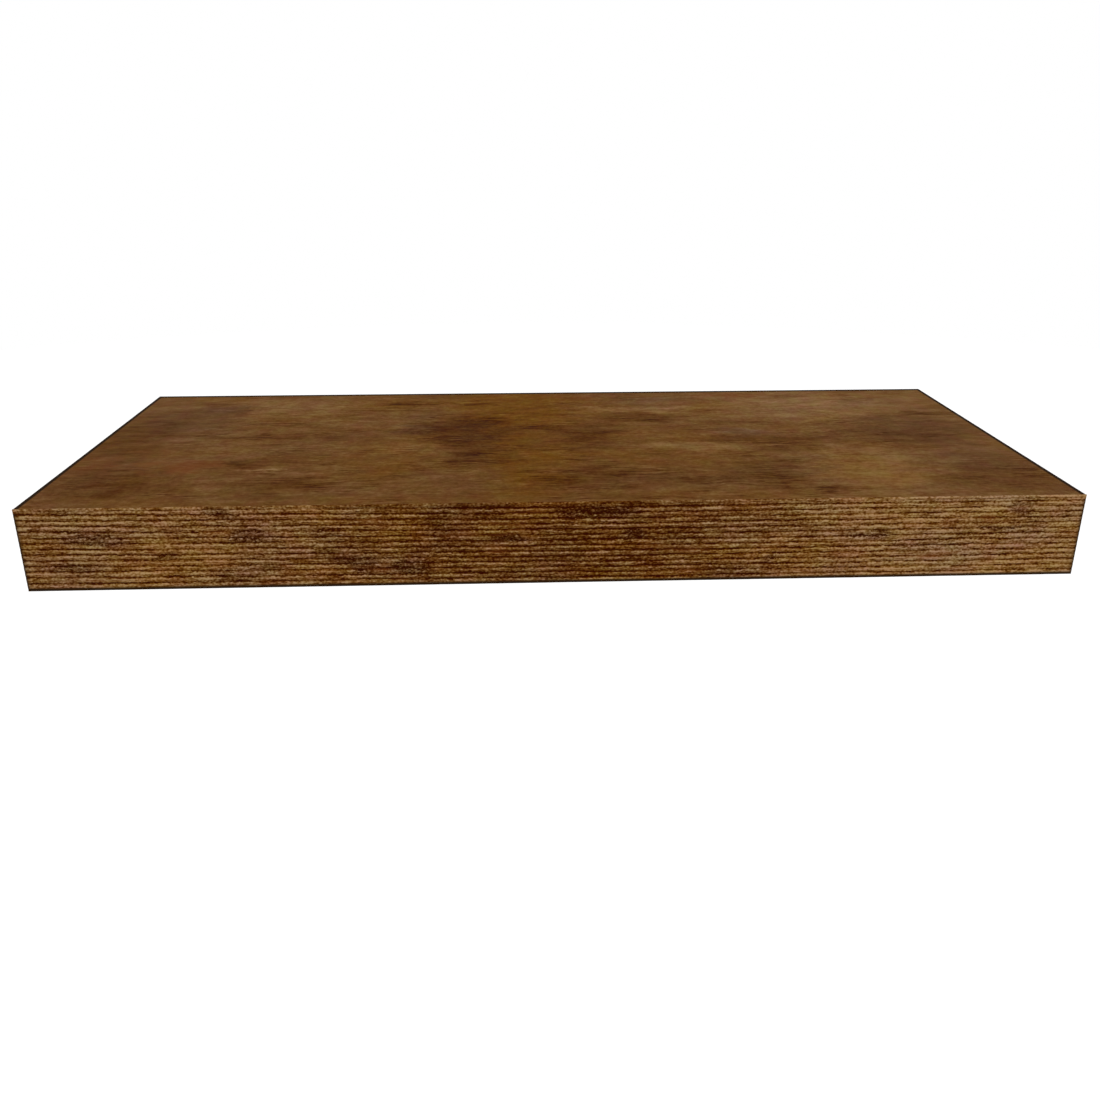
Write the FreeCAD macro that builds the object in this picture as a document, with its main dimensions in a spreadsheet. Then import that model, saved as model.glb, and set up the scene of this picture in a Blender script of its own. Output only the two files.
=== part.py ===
# Floating wall shelf: a hollow-core board that slides on to a hidden steel wall bracket.
#
# The wall is the plane y = 0. +X runs along the wall, -Y points out into the room and +Z is up.
# The origin lies on the wall, at the middle of the bracket's plate. All lengths are in millimetres.
import FreeCAD
import Part
import Sketcher

import math
import os

Vector = FreeCAD.Vector

DRIVING_SIZES = {
    # The board as it is measured from outside
    "shelf_width": 610,
    "shelf_depth": 260,
    "shelf_height": 50,
    # Skins and edge bands
    "skin_thickness": 3,
    "band_thickness": 1,
    "band_edge_radius": 0.4,
    # Rails of the frame between the skins
    "end_rail_width": 28,
    "front_rail_width": 28,
    "back_rail_width": 36,
    "rod_rail_width": 44,
    # Dowels at the frame's corners
    "dowel_diameter": 8,
    "dowel_length": 38,
    "dowel_in_end_rail": 17,
    "dowel_spacing": 20,
    "dowel_chamfer": 1,
    "dowel_clearance": 0.1,
    "dowel_end_gap": 1,
    # Paper honeycomb between the rails
    "cell_size": 20,
    "cell_wall": 0.6,
    "core_clearance": 0.5,
    # Wall plate
    "plate_thickness": 4,
    "plate_corner_radius": 5,
    "plate_clearance": 1.5,
    "plate_end_clearance": 11,
    "plate_edge_clearance": 4,
    "screw_hole_diameter": 6.5,
    "screw_hole_inset": 20,
    "slot_pitch": 42,
    "slot_length": 16,
    # Rods that carry the board, and their welds
    "rod_inset": 115,
    "rod_diameter": 12,
    "rod_reach": 160,
    "rod_tip_chamfer": 1.5,
    "rod_clearance": 0.3,
    "rod_bore_end_gap": 8,
    "spigot_diameter": 8,
    "weld_leg": 3.5,
    "weld_clearance": 0.8,
    # Lock screws under the rods, and the brass inserts that they turn in
    "lock_inset": 34,
    "lock_gap": 0.3,
    "lock_screw_diameter": 6,
    "lock_screw_recess": 6.2,
    "lock_screw_chamfer": 0.8,
    "lock_hole_clearance": 0.3,
    "socket_flats": 3,
    "socket_depth": 4,
    "insert_diameter": 10,
    "insert_recess": 0.5,
    "insert_roof": 3.2,
    "insert_end_gap": 0.5,
    "insert_chamfer": 0.6,
    "insert_clearance": 0.1,
    "insert_slot_width": 1.6,
    "insert_slot_depth": 1.8,
    "thread_clearance": 0.1,
}

# Shares and an angle, which keep their values when every length is scaled
COUNTERSINK_SHARE = 0.6
LEAST_CELL_SHARE = 0.05
WELD_RELIEF_ANGLE = 90

SIDES = {"left": -1, "right": 1}
LEVELS = {"upper": 1, "lower": -1}

doc = FreeCAD.newDocument("floating_wall_shelf")
sheet = doc.addObject("Spreadsheet::Sheet", "sizes")
for row, (alias, size) in enumerate(DRIVING_SIZES.items(), start=1):
    sheet.set(f"A{row}", alias)
    sheet.set(f"B{row}", str(size))
    sheet.setAlias(f"B{row}", alias)
doc.recompute()

# Sizes that follow from the sheet, as expressions
PANEL_WIDTH = "(sizes.shelf_width - 2 * sizes.band_thickness)"
PANEL_DEPTH = "(sizes.shelf_depth - sizes.band_thickness)"
CORE_HEIGHT = "(sizes.shelf_height - 2 * sizes.skin_thickness)"
INNER_WIDTH = f"({PANEL_WIDTH} - 2 * sizes.end_rail_width)"
PLATE_LENGTH = f"({INNER_WIDTH} - 2 * sizes.plate_end_clearance)"
PLATE_HEIGHT = f"({CORE_HEIGHT} - 2 * sizes.plate_edge_clearance)"
SCREW_HOLE_X = f"({PLATE_LENGTH} / 2 - sizes.screw_hole_inset)"
SLOT_X = f"({SCREW_HOLE_X} - sizes.slot_pitch)"
ROD_X = f"({PLATE_LENGTH} / 2 - sizes.rod_inset)"
ROD_RADIUS = "(sizes.rod_diameter / 2)"
BORE_DIAMETER = "(sizes.rod_diameter + 2 * sizes.rod_clearance)"
BORE_END = "(sizes.rod_reach + sizes.rod_bore_end_gap)"
INSERT_HOLE_DIAMETER = "(sizes.insert_diameter + 2 * sizes.insert_clearance)"

# Distances from the wall, measured out into the room
BACK_RAIL_REAR = "(sizes.plate_thickness + sizes.plate_clearance)"
BACK_RAIL_FRONT = f"({BACK_RAIL_REAR} + sizes.back_rail_width)"
FRONT_RAIL_REAR = f"({PANEL_DEPTH} - sizes.front_rail_width)"
BAY_DEPTH = f"({FRONT_RAIL_REAR} - {BACK_RAIL_FRONT})"
BAY_MIDDLE = f"({BACK_RAIL_FRONT} + {BAY_DEPTH} / 2)"
BACK_RAIL_MIDDLE = f"({BACK_RAIL_REAR} + sizes.back_rail_width / 2)"
FRONT_RAIL_MIDDLE = f"({FRONT_RAIL_REAR} + sizes.front_rail_width / 2)"
LOCK_SETBACK = f"({BACK_RAIL_FRONT} + sizes.lock_inset)"

# Depths under the rods' axis, measured down
INSERT_MOUTH = "(sizes.shelf_height / 2 - sizes.insert_recess)"
INSERT_TOP = f"({ROD_RADIUS} + sizes.rod_clearance + sizes.insert_roof)"
INSERT_LENGTH = f"({INSERT_MOUTH} - {INSERT_TOP})"
LOCK_SCREW_TIP = f"({ROD_RADIUS} + sizes.lock_gap)"
LOCK_SCREW_LENGTH = f"({INSERT_MOUTH} - sizes.lock_screw_recess - {LOCK_SCREW_TIP})"

pieces = []


def value(expression):
    """The number that an expression on the sheet stands for now."""
    return float(sheet.evalExpression(expression))


def place(piece, x, y, z):
    """Binds a piece's place to expressions on the sheet."""
    for axis, position in zip("xyz", (x, y, z)):
        piece.setExpression(f".Placement.Base.{axis}", position)


def new_body(label, x="0", y="0", z="0"):
    """An empty body, which becomes one piece of the shelf."""
    body = doc.addObject("PartDesign::Body", label)
    body.Label = label
    place(body, x, y, z)
    pieces.append(body)
    return body


def new_sketch(body, name, plane_role, offset="0"):
    """A sketch on one of the body's own planes, moved along that plane's normal."""
    sketch = body.newObject("Sketcher::SketchObject", f"{body.Name}_{name}")
    plane = next(f for f in body.Origin.OriginFeatures if f.Role == plane_role)
    sketch.AttachmentSupport = [(plane, "")]
    sketch.MapMode = "FlatFace"
    sketch.setExpression(".AttachmentOffset.Base.z", offset)
    return sketch


def dimension(sketch, kind, *where, size):
    """A dimension of the sketch that follows an expression on the sheet."""
    index = sketch.addConstraint(Sketcher.Constraint(kind, *where, value(size)))
    sketch.setExpression(f"Constraints[{index}]", size)


def pin_point(sketch, geometry, vertex, x, y):
    """Holds a point of the sketch at x, y from the sketch's origin."""
    dimension(sketch, "DistanceX", -1, 1, geometry, vertex, size=x)
    dimension(sketch, "DistanceY", -1, 1, geometry, vertex, size=y)


def draw_outline(sketch, corners):
    """A closed outline of straight lines through corners, each a pair of expressions."""
    points = [Vector(value(x), value(y)) for x, y in corners]
    lines = [Part.LineSegment(a, b) for a, b in zip(points, points[1:] + points[:1])]
    first = sketch.addGeometry(lines)[0]
    for index, (x, y) in enumerate(corners):
        following = first + (index + 1) % len(corners)
        sketch.addConstraint(Sketcher.Constraint("Coincident", first + index, 2, following, 1))
        pin_point(sketch, first + index, 1, x, y)


def draw_rectangle(sketch, width, height):
    """A rectangle about the sketch's origin."""
    right, top = f"{width} / 2", f"{height} / 2"
    left, bottom = f"-{width} / 2", f"-{height} / 2"
    draw_outline(sketch, [(left, bottom), (right, bottom), (right, top), (left, top)])


def draw_circle(sketch, x, y, diameter):
    """A circle about x, y."""
    centre = Vector(value(x), value(y))
    circle = sketch.addGeometry(Part.Circle(centre, Vector(0, 0, 1), value(diameter) / 2))
    pin_point(sketch, circle, 3, x, y)
    dimension(sketch, "Diameter", circle, size=diameter)


def draw_slot(sketch, x, y, length, width):
    """A level slot about x, y with round ends."""
    reach = f"({length} - {width}) / 2"
    radius = value(width) / 2
    ends = [(f"{x} + {reach}", -math.pi / 2), (f"{x} - {reach}", math.pi / 2)]
    arcs = []
    for centre_x, start in ends:
        circle = Part.Circle(Vector(value(centre_x), value(y)), Vector(0, 0, 1), radius)
        arcs.append(sketch.addGeometry(Part.ArcOfCircle(circle, start, start + math.pi)))
    for here, there in (arcs, arcs[::-1]):
        leaves = sketch.getPoint(here, 2)
        arrives = sketch.getPoint(there, 1)
        line = sketch.addGeometry(Part.LineSegment(leaves, arrives))
        sketch.addConstraint(Sketcher.Constraint("Tangent", here, 2, line, 1))
        sketch.addConstraint(Sketcher.Constraint("Tangent", line, 2, there, 1))
    sketch.addConstraint(Sketcher.Constraint("Equal", *arcs))
    for arc, (centre_x, _) in zip(arcs, ends):
        pin_point(sketch, arc, 3, centre_x, y)
    dimension(sketch, "Diameter", arcs[0], size=width)


def pad(body, sketch, length, symmetric=False):
    """Raises a sketch into a solid, along its normal or to both sides alike."""
    feature = body.newObject("PartDesign::Pad", f"{sketch.Name}_pad")
    feature.Profile = sketch
    feature.SideType = "Symmetric" if symmetric else "One side"
    feature.setExpression("Length", length)
    doc.recompute()
    return feature


def revolve(body, sketch, axis):
    """Turns a half profile about an axis of its sketch, V_Axis or H_Axis."""
    feature = body.newObject("PartDesign::Revolution", f"{sketch.Name}_turned")
    feature.Profile = sketch
    feature.ReferenceAxis = (sketch, [axis])
    doc.recompute()
    return feature


def cut(body, kind, sketch, along_normal, **settings):
    """A Pocket or a Hole. A text setting of a length is an expression on the sheet."""
    before = body.Shape.Volume
    feature = body.newObject(f"PartDesign::{kind}", f"{sketch.Name}_{kind.lower()}")
    feature.Profile = sketch
    doc.recompute()
    feature.Reversed = along_normal
    for name, setting in settings.items():
        is_choice = feature.getEnumerationsOfProperty(name) is not None
        if isinstance(setting, str) and not is_choice:
            feature.setExpression(name, setting)
        else:
            setattr(feature, name, setting)
    doc.recompute()
    if body.Shape.Volume >= before:
        raise RuntimeError(f"{feature.Name} cuts nothing from {body.Label}")
    return feature


def pocket(body, sketch, along_normal, length=None):
    """Cuts a sketch's outline to a depth, or right through where no depth is given."""
    if length is None:
        return cut(body, "Pocket", sketch, along_normal, Type="ThroughAll")
    return cut(body, "Pocket", sketch, along_normal, Type="Length", Length=length)


def drill(body, sketch, along_normal, diameter, depth, **settings):
    """Drills flat-bottomed holes at a sketch's circles."""
    return cut(body, "Hole", sketch, along_normal, Diameter=diameter, DepthType="Dimension",
               Depth=depth, DrillPoint="Flat", **settings)


def dress_edges(body, kind, name, wanted, **sizes):
    """A Fillet or a Chamfer on those edges of the body that wanted picks."""
    base = body.Tip
    picked = [f"Edge{i}" for i, edge in enumerate(base.Shape.Edges, start=1) if wanted(edge)]
    feature = body.newObject(f"PartDesign::{kind}", f"{body.Name}_{name}")
    feature.Base = (base, picked)
    for property_name, size in sizes.items():
        feature.setExpression(property_name, size)
    doc.recompute()
    return feature


def is_at(edge, axis, position):
    """Whether the whole edge lies in the plane at that position along x, y or z."""
    tolerance = edge.Vertexes[0].Tolerance
    low, high = getattr(edge.BoundBox, f"{axis}Min"), getattr(edge.BoundBox, f"{axis}Max")
    return abs(low - position) <= tolerance and abs(high - position) <= tolerance


def board(label, width, depth, height, x="0", y="0", z="0"):
    """A rectangular board about x, y, z."""
    body = new_body(label, x, y, z)
    outline = new_sketch(body, "outline", "XY_Plane")
    draw_rectangle(outline, width, depth)
    pad(body, outline, height, symmetric=True)
    return body


def build_panels():
    """The two skins. The lower one has a hole for each lock insert."""
    middle = f"-{PANEL_DEPTH} / 2"
    level = "(sizes.shelf_height - sizes.skin_thickness) / 2"
    board("top_panel", PANEL_WIDTH, PANEL_DEPTH, "sizes.skin_thickness", y=middle, z=level)
    bottom = board("bottom_panel", PANEL_WIDTH, PANEL_DEPTH, "sizes.skin_thickness",
                   y=middle, z=f"-{level}")
    holes = new_sketch(bottom, "insert_holes", "XY_Plane", "sizes.skin_thickness / 2")
    for side in SIDES.values():
        draw_circle(holes, f"{side} * {ROD_X}", f"{PANEL_DEPTH} / 2 - {LOCK_SETBACK}",
                    INSERT_HOLE_DIAMETER)
    pocket(bottom, holes, along_normal=False)


def build_bands():
    """The edge bands on the front and both ends, with their outer edges eased."""
    front = board("front_edge_band", "sizes.shelf_width", "sizes.band_thickness", "sizes.shelf_height",
                  y=f"-({PANEL_DEPTH} + sizes.band_thickness / 2)")
    face = -value("sizes.band_thickness") / 2
    dress_edges(front, "Fillet", "eased", lambda edge: is_at(edge, "Y", face),
                Radius="sizes.band_edge_radius")
    levels = [level * value("sizes.shelf_height") / 2 for level in LEVELS.values()]
    for name, side in SIDES.items():
        band = board(f"{name}_edge_band", "sizes.band_thickness", PANEL_DEPTH, "sizes.shelf_height",
                     x=f"{side} * ({PANEL_WIDTH} + sizes.band_thickness) / 2", y=f"-{PANEL_DEPTH} / 2")
        outside = side * value("sizes.band_thickness") / 2
        dress_edges(band, "Fillet", "eased",
                    lambda edge: is_at(edge, "X", outside) and any(is_at(edge, "Z", z) for z in levels),
                    Radius="sizes.band_edge_radius")


def drill_dowel_holes(rail, side, x_face, centres, depth):
    """Drills a pair of dowel holes at each centre into the rail's face at x_face.

    side is 1 where that face looks along +X and -1 where it looks along -X.
    """
    sketch = new_sketch(rail, "dowel_holes_right" if side > 0 else "dowel_holes_left", "YZ_Plane", x_face)
    diameter = "sizes.dowel_diameter + 2 * sizes.dowel_clearance"
    for centre in centres:
        for level in LEVELS.values():
            draw_circle(sketch, centre, f"{level} * sizes.dowel_spacing / 2", f"({diameter})")
    drill(rail, sketch, side < 0, diameter, f"{depth} + sizes.dowel_end_gap")


def build_frame():
    """The four rails between the skins. The back rail is set in, so that it hides the wall plate."""
    for name, side in SIDES.items():
        rail = board(f"{name}_end_rail", "sizes.end_rail_width", PANEL_DEPTH, CORE_HEIGHT,
                     x=f"{side} * ({INNER_WIDTH} + sizes.end_rail_width) / 2", y=f"-{PANEL_DEPTH} / 2")
        centres = [f"{PANEL_DEPTH} / 2 - {middle}" for middle in (FRONT_RAIL_MIDDLE, BACK_RAIL_MIDDLE)]
        drill_dowel_holes(rail, -side, f"{-side} * sizes.end_rail_width / 2", centres,
                          "sizes.dowel_in_end_rail")
    front = board("front_rail", INNER_WIDTH, "sizes.front_rail_width", CORE_HEIGHT,
                  y=f"-{FRONT_RAIL_MIDDLE}")
    back = board("back_rail", INNER_WIDTH, "sizes.back_rail_width", CORE_HEIGHT,
                 y=f"-{BACK_RAIL_MIDDLE}")
    for rail in (front, back):
        for side in SIDES.values():
            drill_dowel_holes(rail, side, f"{side} * {INNER_WIDTH} / 2", ["0"],
                              "(sizes.dowel_length - sizes.dowel_in_end_rail)")
    bores = new_sketch(back, "rod_bores", "XZ_Plane", "-sizes.back_rail_width / 2")
    for side in SIDES.values():
        draw_circle(bores, f"{side} * {ROD_X}", "0", BORE_DIAMETER)
    weld_reach = "(sizes.weld_leg - sizes.plate_clearance + sizes.weld_clearance)"
    cut(back, "Hole", bores, True, Diameter=BORE_DIAMETER, DepthType="ThroughAll",
        HoleCutType="Countersink", HoleCutCustomValues=True,
        HoleCutCountersinkAngle=WELD_RELIEF_ANGLE,
        HoleCutDiameter=f"sizes.rod_diameter + 2 * {weld_reach}")


def build_rod_rails():
    """The two rails that the rods slide into, each bored for its rod and, from below, for its lock."""
    for name, side in SIDES.items():
        rail = board(f"{name}_rod_rail", "sizes.rod_rail_width", BAY_DEPTH, CORE_HEIGHT,
                     x=f"{side} * {ROD_X}", y=f"-{BAY_MIDDLE}")
        bore = new_sketch(rail, "rod_bore", "XZ_Plane", f"-{BAY_DEPTH} / 2")
        draw_circle(bore, "0", "0", BORE_DIAMETER)
        drill(rail, bore, True, BORE_DIAMETER, f"{BORE_END} - {BACK_RAIL_FRONT}")
        lock = new_sketch(rail, "lock_hole", "XY_Plane", f"-{CORE_HEIGHT} / 2")
        clearance_diameter = "(sizes.lock_screw_diameter + 2 * sizes.lock_hole_clearance)"
        draw_circle(lock, "0", f"{BAY_MIDDLE} - {LOCK_SETBACK}", clearance_diameter)
        drill(rail, lock, True, clearance_diameter, f"{CORE_HEIGHT} / 2",
              HoleCutType="Counterbore", HoleCutCustomValues=True,
              HoleCutDiameter=INSERT_HOLE_DIAMETER,
              HoleCutDepth=f"{CORE_HEIGHT} / 2 - {INSERT_TOP} + sizes.insert_end_gap")


def build_dowels():
    """Two glued dowels in each corner of the frame."""
    radius = "sizes.dowel_diameter / 2"
    end = f"{radius} - sizes.dowel_chamfer"
    rows = {"front": FRONT_RAIL_MIDDLE, "back": BACK_RAIL_MIDDLE}
    for row_name, middle in rows.items():
        for side_name, side in SIDES.items():
            for level_name, level in LEVELS.items():
                inward = "(sizes.dowel_length / 2 - sizes.dowel_in_end_rail)"
                dowel = new_body(f"{row_name}_{side_name}_dowel_{level_name}",
                                 x=f"{side} * ({INNER_WIDTH} / 2 - {inward})", y=f"-{middle}",
                                 z=f"{level} * sizes.dowel_spacing / 2")
                profile = new_sketch(dowel, "profile", "XY_Plane")
                half = "sizes.dowel_length / 2"
                shoulder = f"({half} - sizes.dowel_chamfer)"
                draw_outline(profile, [(f"-{half}", "0"), (half, "0"), (half, end), (shoulder, radius),
                                       (f"-{shoulder}", radius), (f"-{half}", end)])
                revolve(dowel, profile, "H_Axis")


def clip(polygon, axis, limit, side):
    """The part of a convex polygon that lies on one side of a line across an axis."""
    kept = []
    for here, there in zip(polygon, polygon[1:] + polygon[:1]):
        inside_here = side * (here[axis] - limit) >= 0
        inside_there = side * (there[axis] - limit) >= 0
        if inside_here:
            kept.append(here)
        if inside_here != inside_there:
            share = (limit - here[axis]) / (there[axis] - here[axis])
            kept.append(here + (there - here) * share)
    return kept


def area(polygon):
    """The area of a flat polygon."""
    return abs(sum(a.x * b.y - b.x * a.y for a, b in zip(polygon, polygon[1:] + polygon[:1]))) / 2


def honeycomb(width, depth, height):
    """Kraft honeycomb cut to a bay: hexagonal cells that share thin walls, closed at the cut edges."""
    pitch = value("sizes.cell_size")
    wall = value("sizes.cell_wall")
    row_step = pitch * math.sqrt(3) / 2
    corner = (pitch - wall) / math.sqrt(3)
    turns = [math.pi * (2 * i + 1) / 6 for i in range(6)]
    whole = [Vector(corner * math.cos(turn), corner * math.sin(turn)) for turn in turns]
    rim_x, rim_y = width / 2 - wall, depth / 2 - wall
    rows = math.ceil(depth / 2 / row_step)
    columns = math.ceil(width / 2 / pitch) + 1
    cells = []
    for row in range(-rows, rows + 1):
        for column in range(-columns, columns + 1):
            centre = Vector((column + row % 2 / 2) * pitch, row * row_step)
            cell = [centre + point for point in whole]
            for axis, limit in ((0, rim_x), (1, rim_y)):
                for side in (-1, 1):
                    cell = clip(cell, axis, -side * limit, side)
            if len(cell) > 2 and area(cell) > LEAST_CELL_SHARE * area(whole):
                cells.append(Part.makePolygon(cell + cell[:1]))
    corners = [Vector(x * width / 2, y * depth / 2) for x, y in ((-1, -1), (1, -1), (1, 1), (-1, 1))]
    outline = Part.makePolygon(corners + corners[:1])
    sheet_of_cells = Part.makeFace([outline] + cells, "Part::FaceMakerBullseye")
    return sheet_of_cells.extrude(Vector(0, 0, height))


def build_cores():
    """Paper honeycomb in the three bays of the frame, as high as the frame."""
    inner = value(INNER_WIDTH) / 2
    rod = value(ROD_X)
    half_rail = value("sizes.rod_rail_width") / 2
    clearance = value("sizes.core_clearance")
    depth = value(BAY_DEPTH) - 2 * clearance
    height = value(CORE_HEIGHT)
    bays = {
        "left": (-inner, -rod - half_rail),
        "centre": (-rod + half_rail, rod - half_rail),
        "right": (rod + half_rail, inner),
    }
    for name, (low, high) in bays.items():
        core = doc.addObject("Part::Feature", f"{name}_honeycomb")
        core.Label = f"{name}_honeycomb"
        core.Shape = honeycomb(high - low - 2 * clearance, depth, height)
        core.Placement.Base = Vector((low + high) / 2, -value(BAY_MIDDLE), -height / 2)
        pieces.append(core)


def build_wall_plate():
    """The steel bar behind the shelf: countersunk holes and slots for wall screws, and the rods' holes."""
    plate = new_body("wall_plate")
    outline = new_sketch(plate, "outline", "XZ_Plane")
    draw_rectangle(outline, PLATE_LENGTH, PLATE_HEIGHT)
    pad(plate, outline, "sizes.plate_thickness")
    half_length, half_height = value(PLATE_LENGTH) / 2, value(PLATE_HEIGHT) / 2
    dress_edges(plate, "Fillet", "corners",
                lambda edge: any(is_at(edge, "X", s * half_length) for s in SIDES.values())
                and any(is_at(edge, "Z", s * half_height) for s in LEVELS.values()),
                Radius="sizes.plate_corner_radius")
    screw_holes = new_sketch(plate, "screw_holes", "XZ_Plane")
    for side in SIDES.values():
        draw_circle(screw_holes, f"{side} * {SCREW_HOLE_X}", "0", "sizes.screw_hole_diameter")
        draw_slot(screw_holes, f"{side} * {SLOT_X}", "0", "sizes.slot_length", "sizes.screw_hole_diameter")
    pocket(plate, screw_holes, along_normal=True)
    front = -value("sizes.plate_thickness")
    dress_edges(plate, "Chamfer", "countersinks",
                lambda edge: is_at(edge, "Y", front) and is_in_a_hole(plate, edge, front),
                Size=f"sizes.plate_thickness * {COUNTERSINK_SHARE}")
    rod_holes = new_sketch(plate, "rod_holes", "XZ_Plane")
    for side in SIDES.values():
        draw_circle(rod_holes, f"{side} * {ROD_X}", "0", "sizes.spigot_diameter")
    pocket(plate, rod_holes, along_normal=True)


def is_in_a_hole(body, edge, y):
    """Whether the edge bounds a hole, and not the outline, of the body's face at y."""
    faces = [face for face in body.Shape.Faces if all(is_at(side, "Y", y) for side in face.Edges)]
    return not any(edge.isSame(side) for face in faces for side in face.OuterWire.Edges)


def build_rods():
    """The two rods, with spigots through the plate, and the weld bead round each."""
    for name, side in SIDES.items():
        rod = new_body(f"{name}_support_rod", x=f"{side} * {ROD_X}")
        profile = new_sketch(rod, "profile", "XY_Plane")
        spigot = "sizes.spigot_diameter / 2"
        seat = "-sizes.plate_thickness"
        tip = "-sizes.rod_reach"
        draw_outline(profile, [("0", "0"), ("0", tip), (f"{ROD_RADIUS} - sizes.rod_tip_chamfer", tip),
                               (ROD_RADIUS, f"{tip} + sizes.rod_tip_chamfer"), (ROD_RADIUS, seat),
                               (spigot, seat), (spigot, "0")])
        revolve(rod, profile, "V_Axis")
        weld = new_body(f"{name}_rod_weld", x=f"{side} * {ROD_X}")
        bead = new_sketch(weld, "bead", "XY_Plane")
        draw_outline(bead, [(ROD_RADIUS, seat), (ROD_RADIUS, f"{seat} - sizes.weld_leg"),
                            (f"{ROD_RADIUS} + sizes.weld_leg", seat)])
        revolve(weld, bead, "V_Axis")


def build_locks():
    """A brass insert and a socket lock screw under each rod."""
    screw_radius = "sizes.lock_screw_diameter / 2"
    for name, side in SIDES.items():
        insert = new_body(f"{name}_lock_insert", x=f"{side} * {ROD_X}", y=f"-{LOCK_SETBACK}",
                          z=f"-{INSERT_MOUTH}")
        wall = new_sketch(insert, "wall", "XZ_Plane")
        bore = f"({screw_radius} + sizes.thread_clearance)"
        outer = "sizes.insert_diameter / 2"
        draw_outline(wall, [(bore, "0"), (outer, "0"), (outer, f"{INSERT_LENGTH} - sizes.insert_chamfer"),
                            (f"{outer} - sizes.insert_chamfer", INSERT_LENGTH), (bore, INSERT_LENGTH)])
        revolve(insert, wall, "V_Axis")
        drive = new_sketch(insert, "drive_slot", "XY_Plane")
        draw_rectangle(drive, "sizes.insert_diameter * 2", "sizes.insert_slot_width")
        pocket(insert, drive, along_normal=True, length="sizes.insert_slot_depth")

        screw = new_body(f"{name}_lock_screw", x=f"{side} * {ROD_X}", y=f"-{LOCK_SETBACK}",
                         z=f"-({LOCK_SCREW_TIP} + {LOCK_SCREW_LENGTH})")
        profile = new_sketch(screw, "profile", "XZ_Plane")
        eased = f"({screw_radius} - sizes.lock_screw_chamfer)"
        shoulder = f"({LOCK_SCREW_LENGTH} - sizes.lock_screw_chamfer)"
        draw_outline(profile, [("0", "0"), (eased, "0"), (screw_radius, "sizes.lock_screw_chamfer"),
                               (screw_radius, shoulder), (eased, LOCK_SCREW_LENGTH),
                               ("0", LOCK_SCREW_LENGTH)])
        revolve(screw, profile, "V_Axis")
        socket = new_sketch(screw, "socket", "XY_Plane")
        flat = "sizes.socket_flats / 2"
        corner = "sizes.socket_flats / sqrt(3)"
        draw_outline(socket, [(flat, f"-{corner} / 2"), (flat, f"{corner} / 2"), ("0", corner),
                              (f"-{flat}", f"{corner} / 2"), (f"-{flat}", f"-{corner} / 2"),
                              ("0", f"-{corner}")])
        pocket(screw, socket, along_normal=True, length="sizes.socket_depth")


def check_document():
    """Stops if any object failed, or a piece isn't one valid solid."""
    failed = [o.Name for o in doc.Objects if {"Invalid", "Error"} & set(o.State)]
    loose = [o.Name for o in doc.Objects
             if o.isDerivedFrom("Sketcher::SketchObject") and not o.FullyConstrained]
    broken = [p.Label for p in pieces
              if p.Shape.isNull() or not p.Shape.isValid() or len(p.Shape.Solids) != 1]
    if failed or loose or broken:
        raise RuntimeError(f"failed: {failed}, not fully constrained: {loose}, not a solid: {broken}")


def write_pieces():
    """Writes each piece to parts, under its own label."""
    os.makedirs("parts", exist_ok=True)
    for piece in pieces:
        piece.Shape.exportStep(f"parts/{piece.Label}.step")
        print(f"{piece.Label}: {piece.Shape.Volume:.1f} mm3")


build_panels()
build_bands()
build_frame()
build_rod_rails()
build_dowels()
build_cores()
build_wall_plate()
build_rods()
build_locks()
doc.recompute()
check_document()
write_pieces()
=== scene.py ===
"""Looks of a floating wall shelf: printed skins, embossed edge bands, board frame and hidden rod bracket.

Size fields are in millimetres, and the meshes and the frame are in metres.
X runs along the wall, Y into the wall and Z up, with the origin on the wall plane.
"""

from __future__ import annotations

import logging
import math
from dataclasses import dataclass
from enum import Enum
from typing import Any, ClassVar, Sequence, Union

import bpy
import numpy as np
from mathutils import Matrix, Vector


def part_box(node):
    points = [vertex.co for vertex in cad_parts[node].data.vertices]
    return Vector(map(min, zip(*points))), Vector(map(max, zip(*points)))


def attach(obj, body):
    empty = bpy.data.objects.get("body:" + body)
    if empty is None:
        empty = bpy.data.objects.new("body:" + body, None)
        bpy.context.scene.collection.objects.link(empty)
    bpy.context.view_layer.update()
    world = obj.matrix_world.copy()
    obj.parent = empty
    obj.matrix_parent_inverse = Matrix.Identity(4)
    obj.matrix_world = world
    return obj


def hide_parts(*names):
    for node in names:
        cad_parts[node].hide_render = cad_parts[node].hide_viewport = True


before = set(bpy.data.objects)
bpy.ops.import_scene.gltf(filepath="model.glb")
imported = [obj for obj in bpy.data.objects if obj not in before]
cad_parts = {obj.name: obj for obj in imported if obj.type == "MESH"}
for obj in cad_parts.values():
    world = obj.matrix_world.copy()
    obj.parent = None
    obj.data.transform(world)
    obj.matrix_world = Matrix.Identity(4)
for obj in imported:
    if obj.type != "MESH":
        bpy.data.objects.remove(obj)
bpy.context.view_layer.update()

LOG = logging.getLogger("shelf")
MM = 0.001
FULL_TURN = 2 * math.pi
SIDES = ("left", "right")
SHELF_BODY = "shelf"
BRACKET_BODY = "wall_bracket"

Value = Union["Wire", float]
Colour = tuple[float, float, float, float]
# Where a mask starts, and where it is full
Span = tuple[float, float]
Triple = tuple[float, float, float]
Stops = Sequence[tuple[float, Colour]]


def srgb(red: float, green: float, blue: float) -> Colour:
    """Turn a colour as a screen shows it into the linear colour that a shader takes.

    Args:
        red: Red from 0 to 255.
        green: Green from 0 to 255.
        blue: Blue from 0 to 255.

    Returns:
        The linear colour, with full alpha.
    """
    def linear(part: float) -> float:
        """Return one linear channel."""
        share = part / 255
        return share / 12.92 if share <= 0.04045 else ((share + 0.055) / 1.055) ** 2.4

    return (linear(red), linear(green), linear(blue), 1.0)


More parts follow.
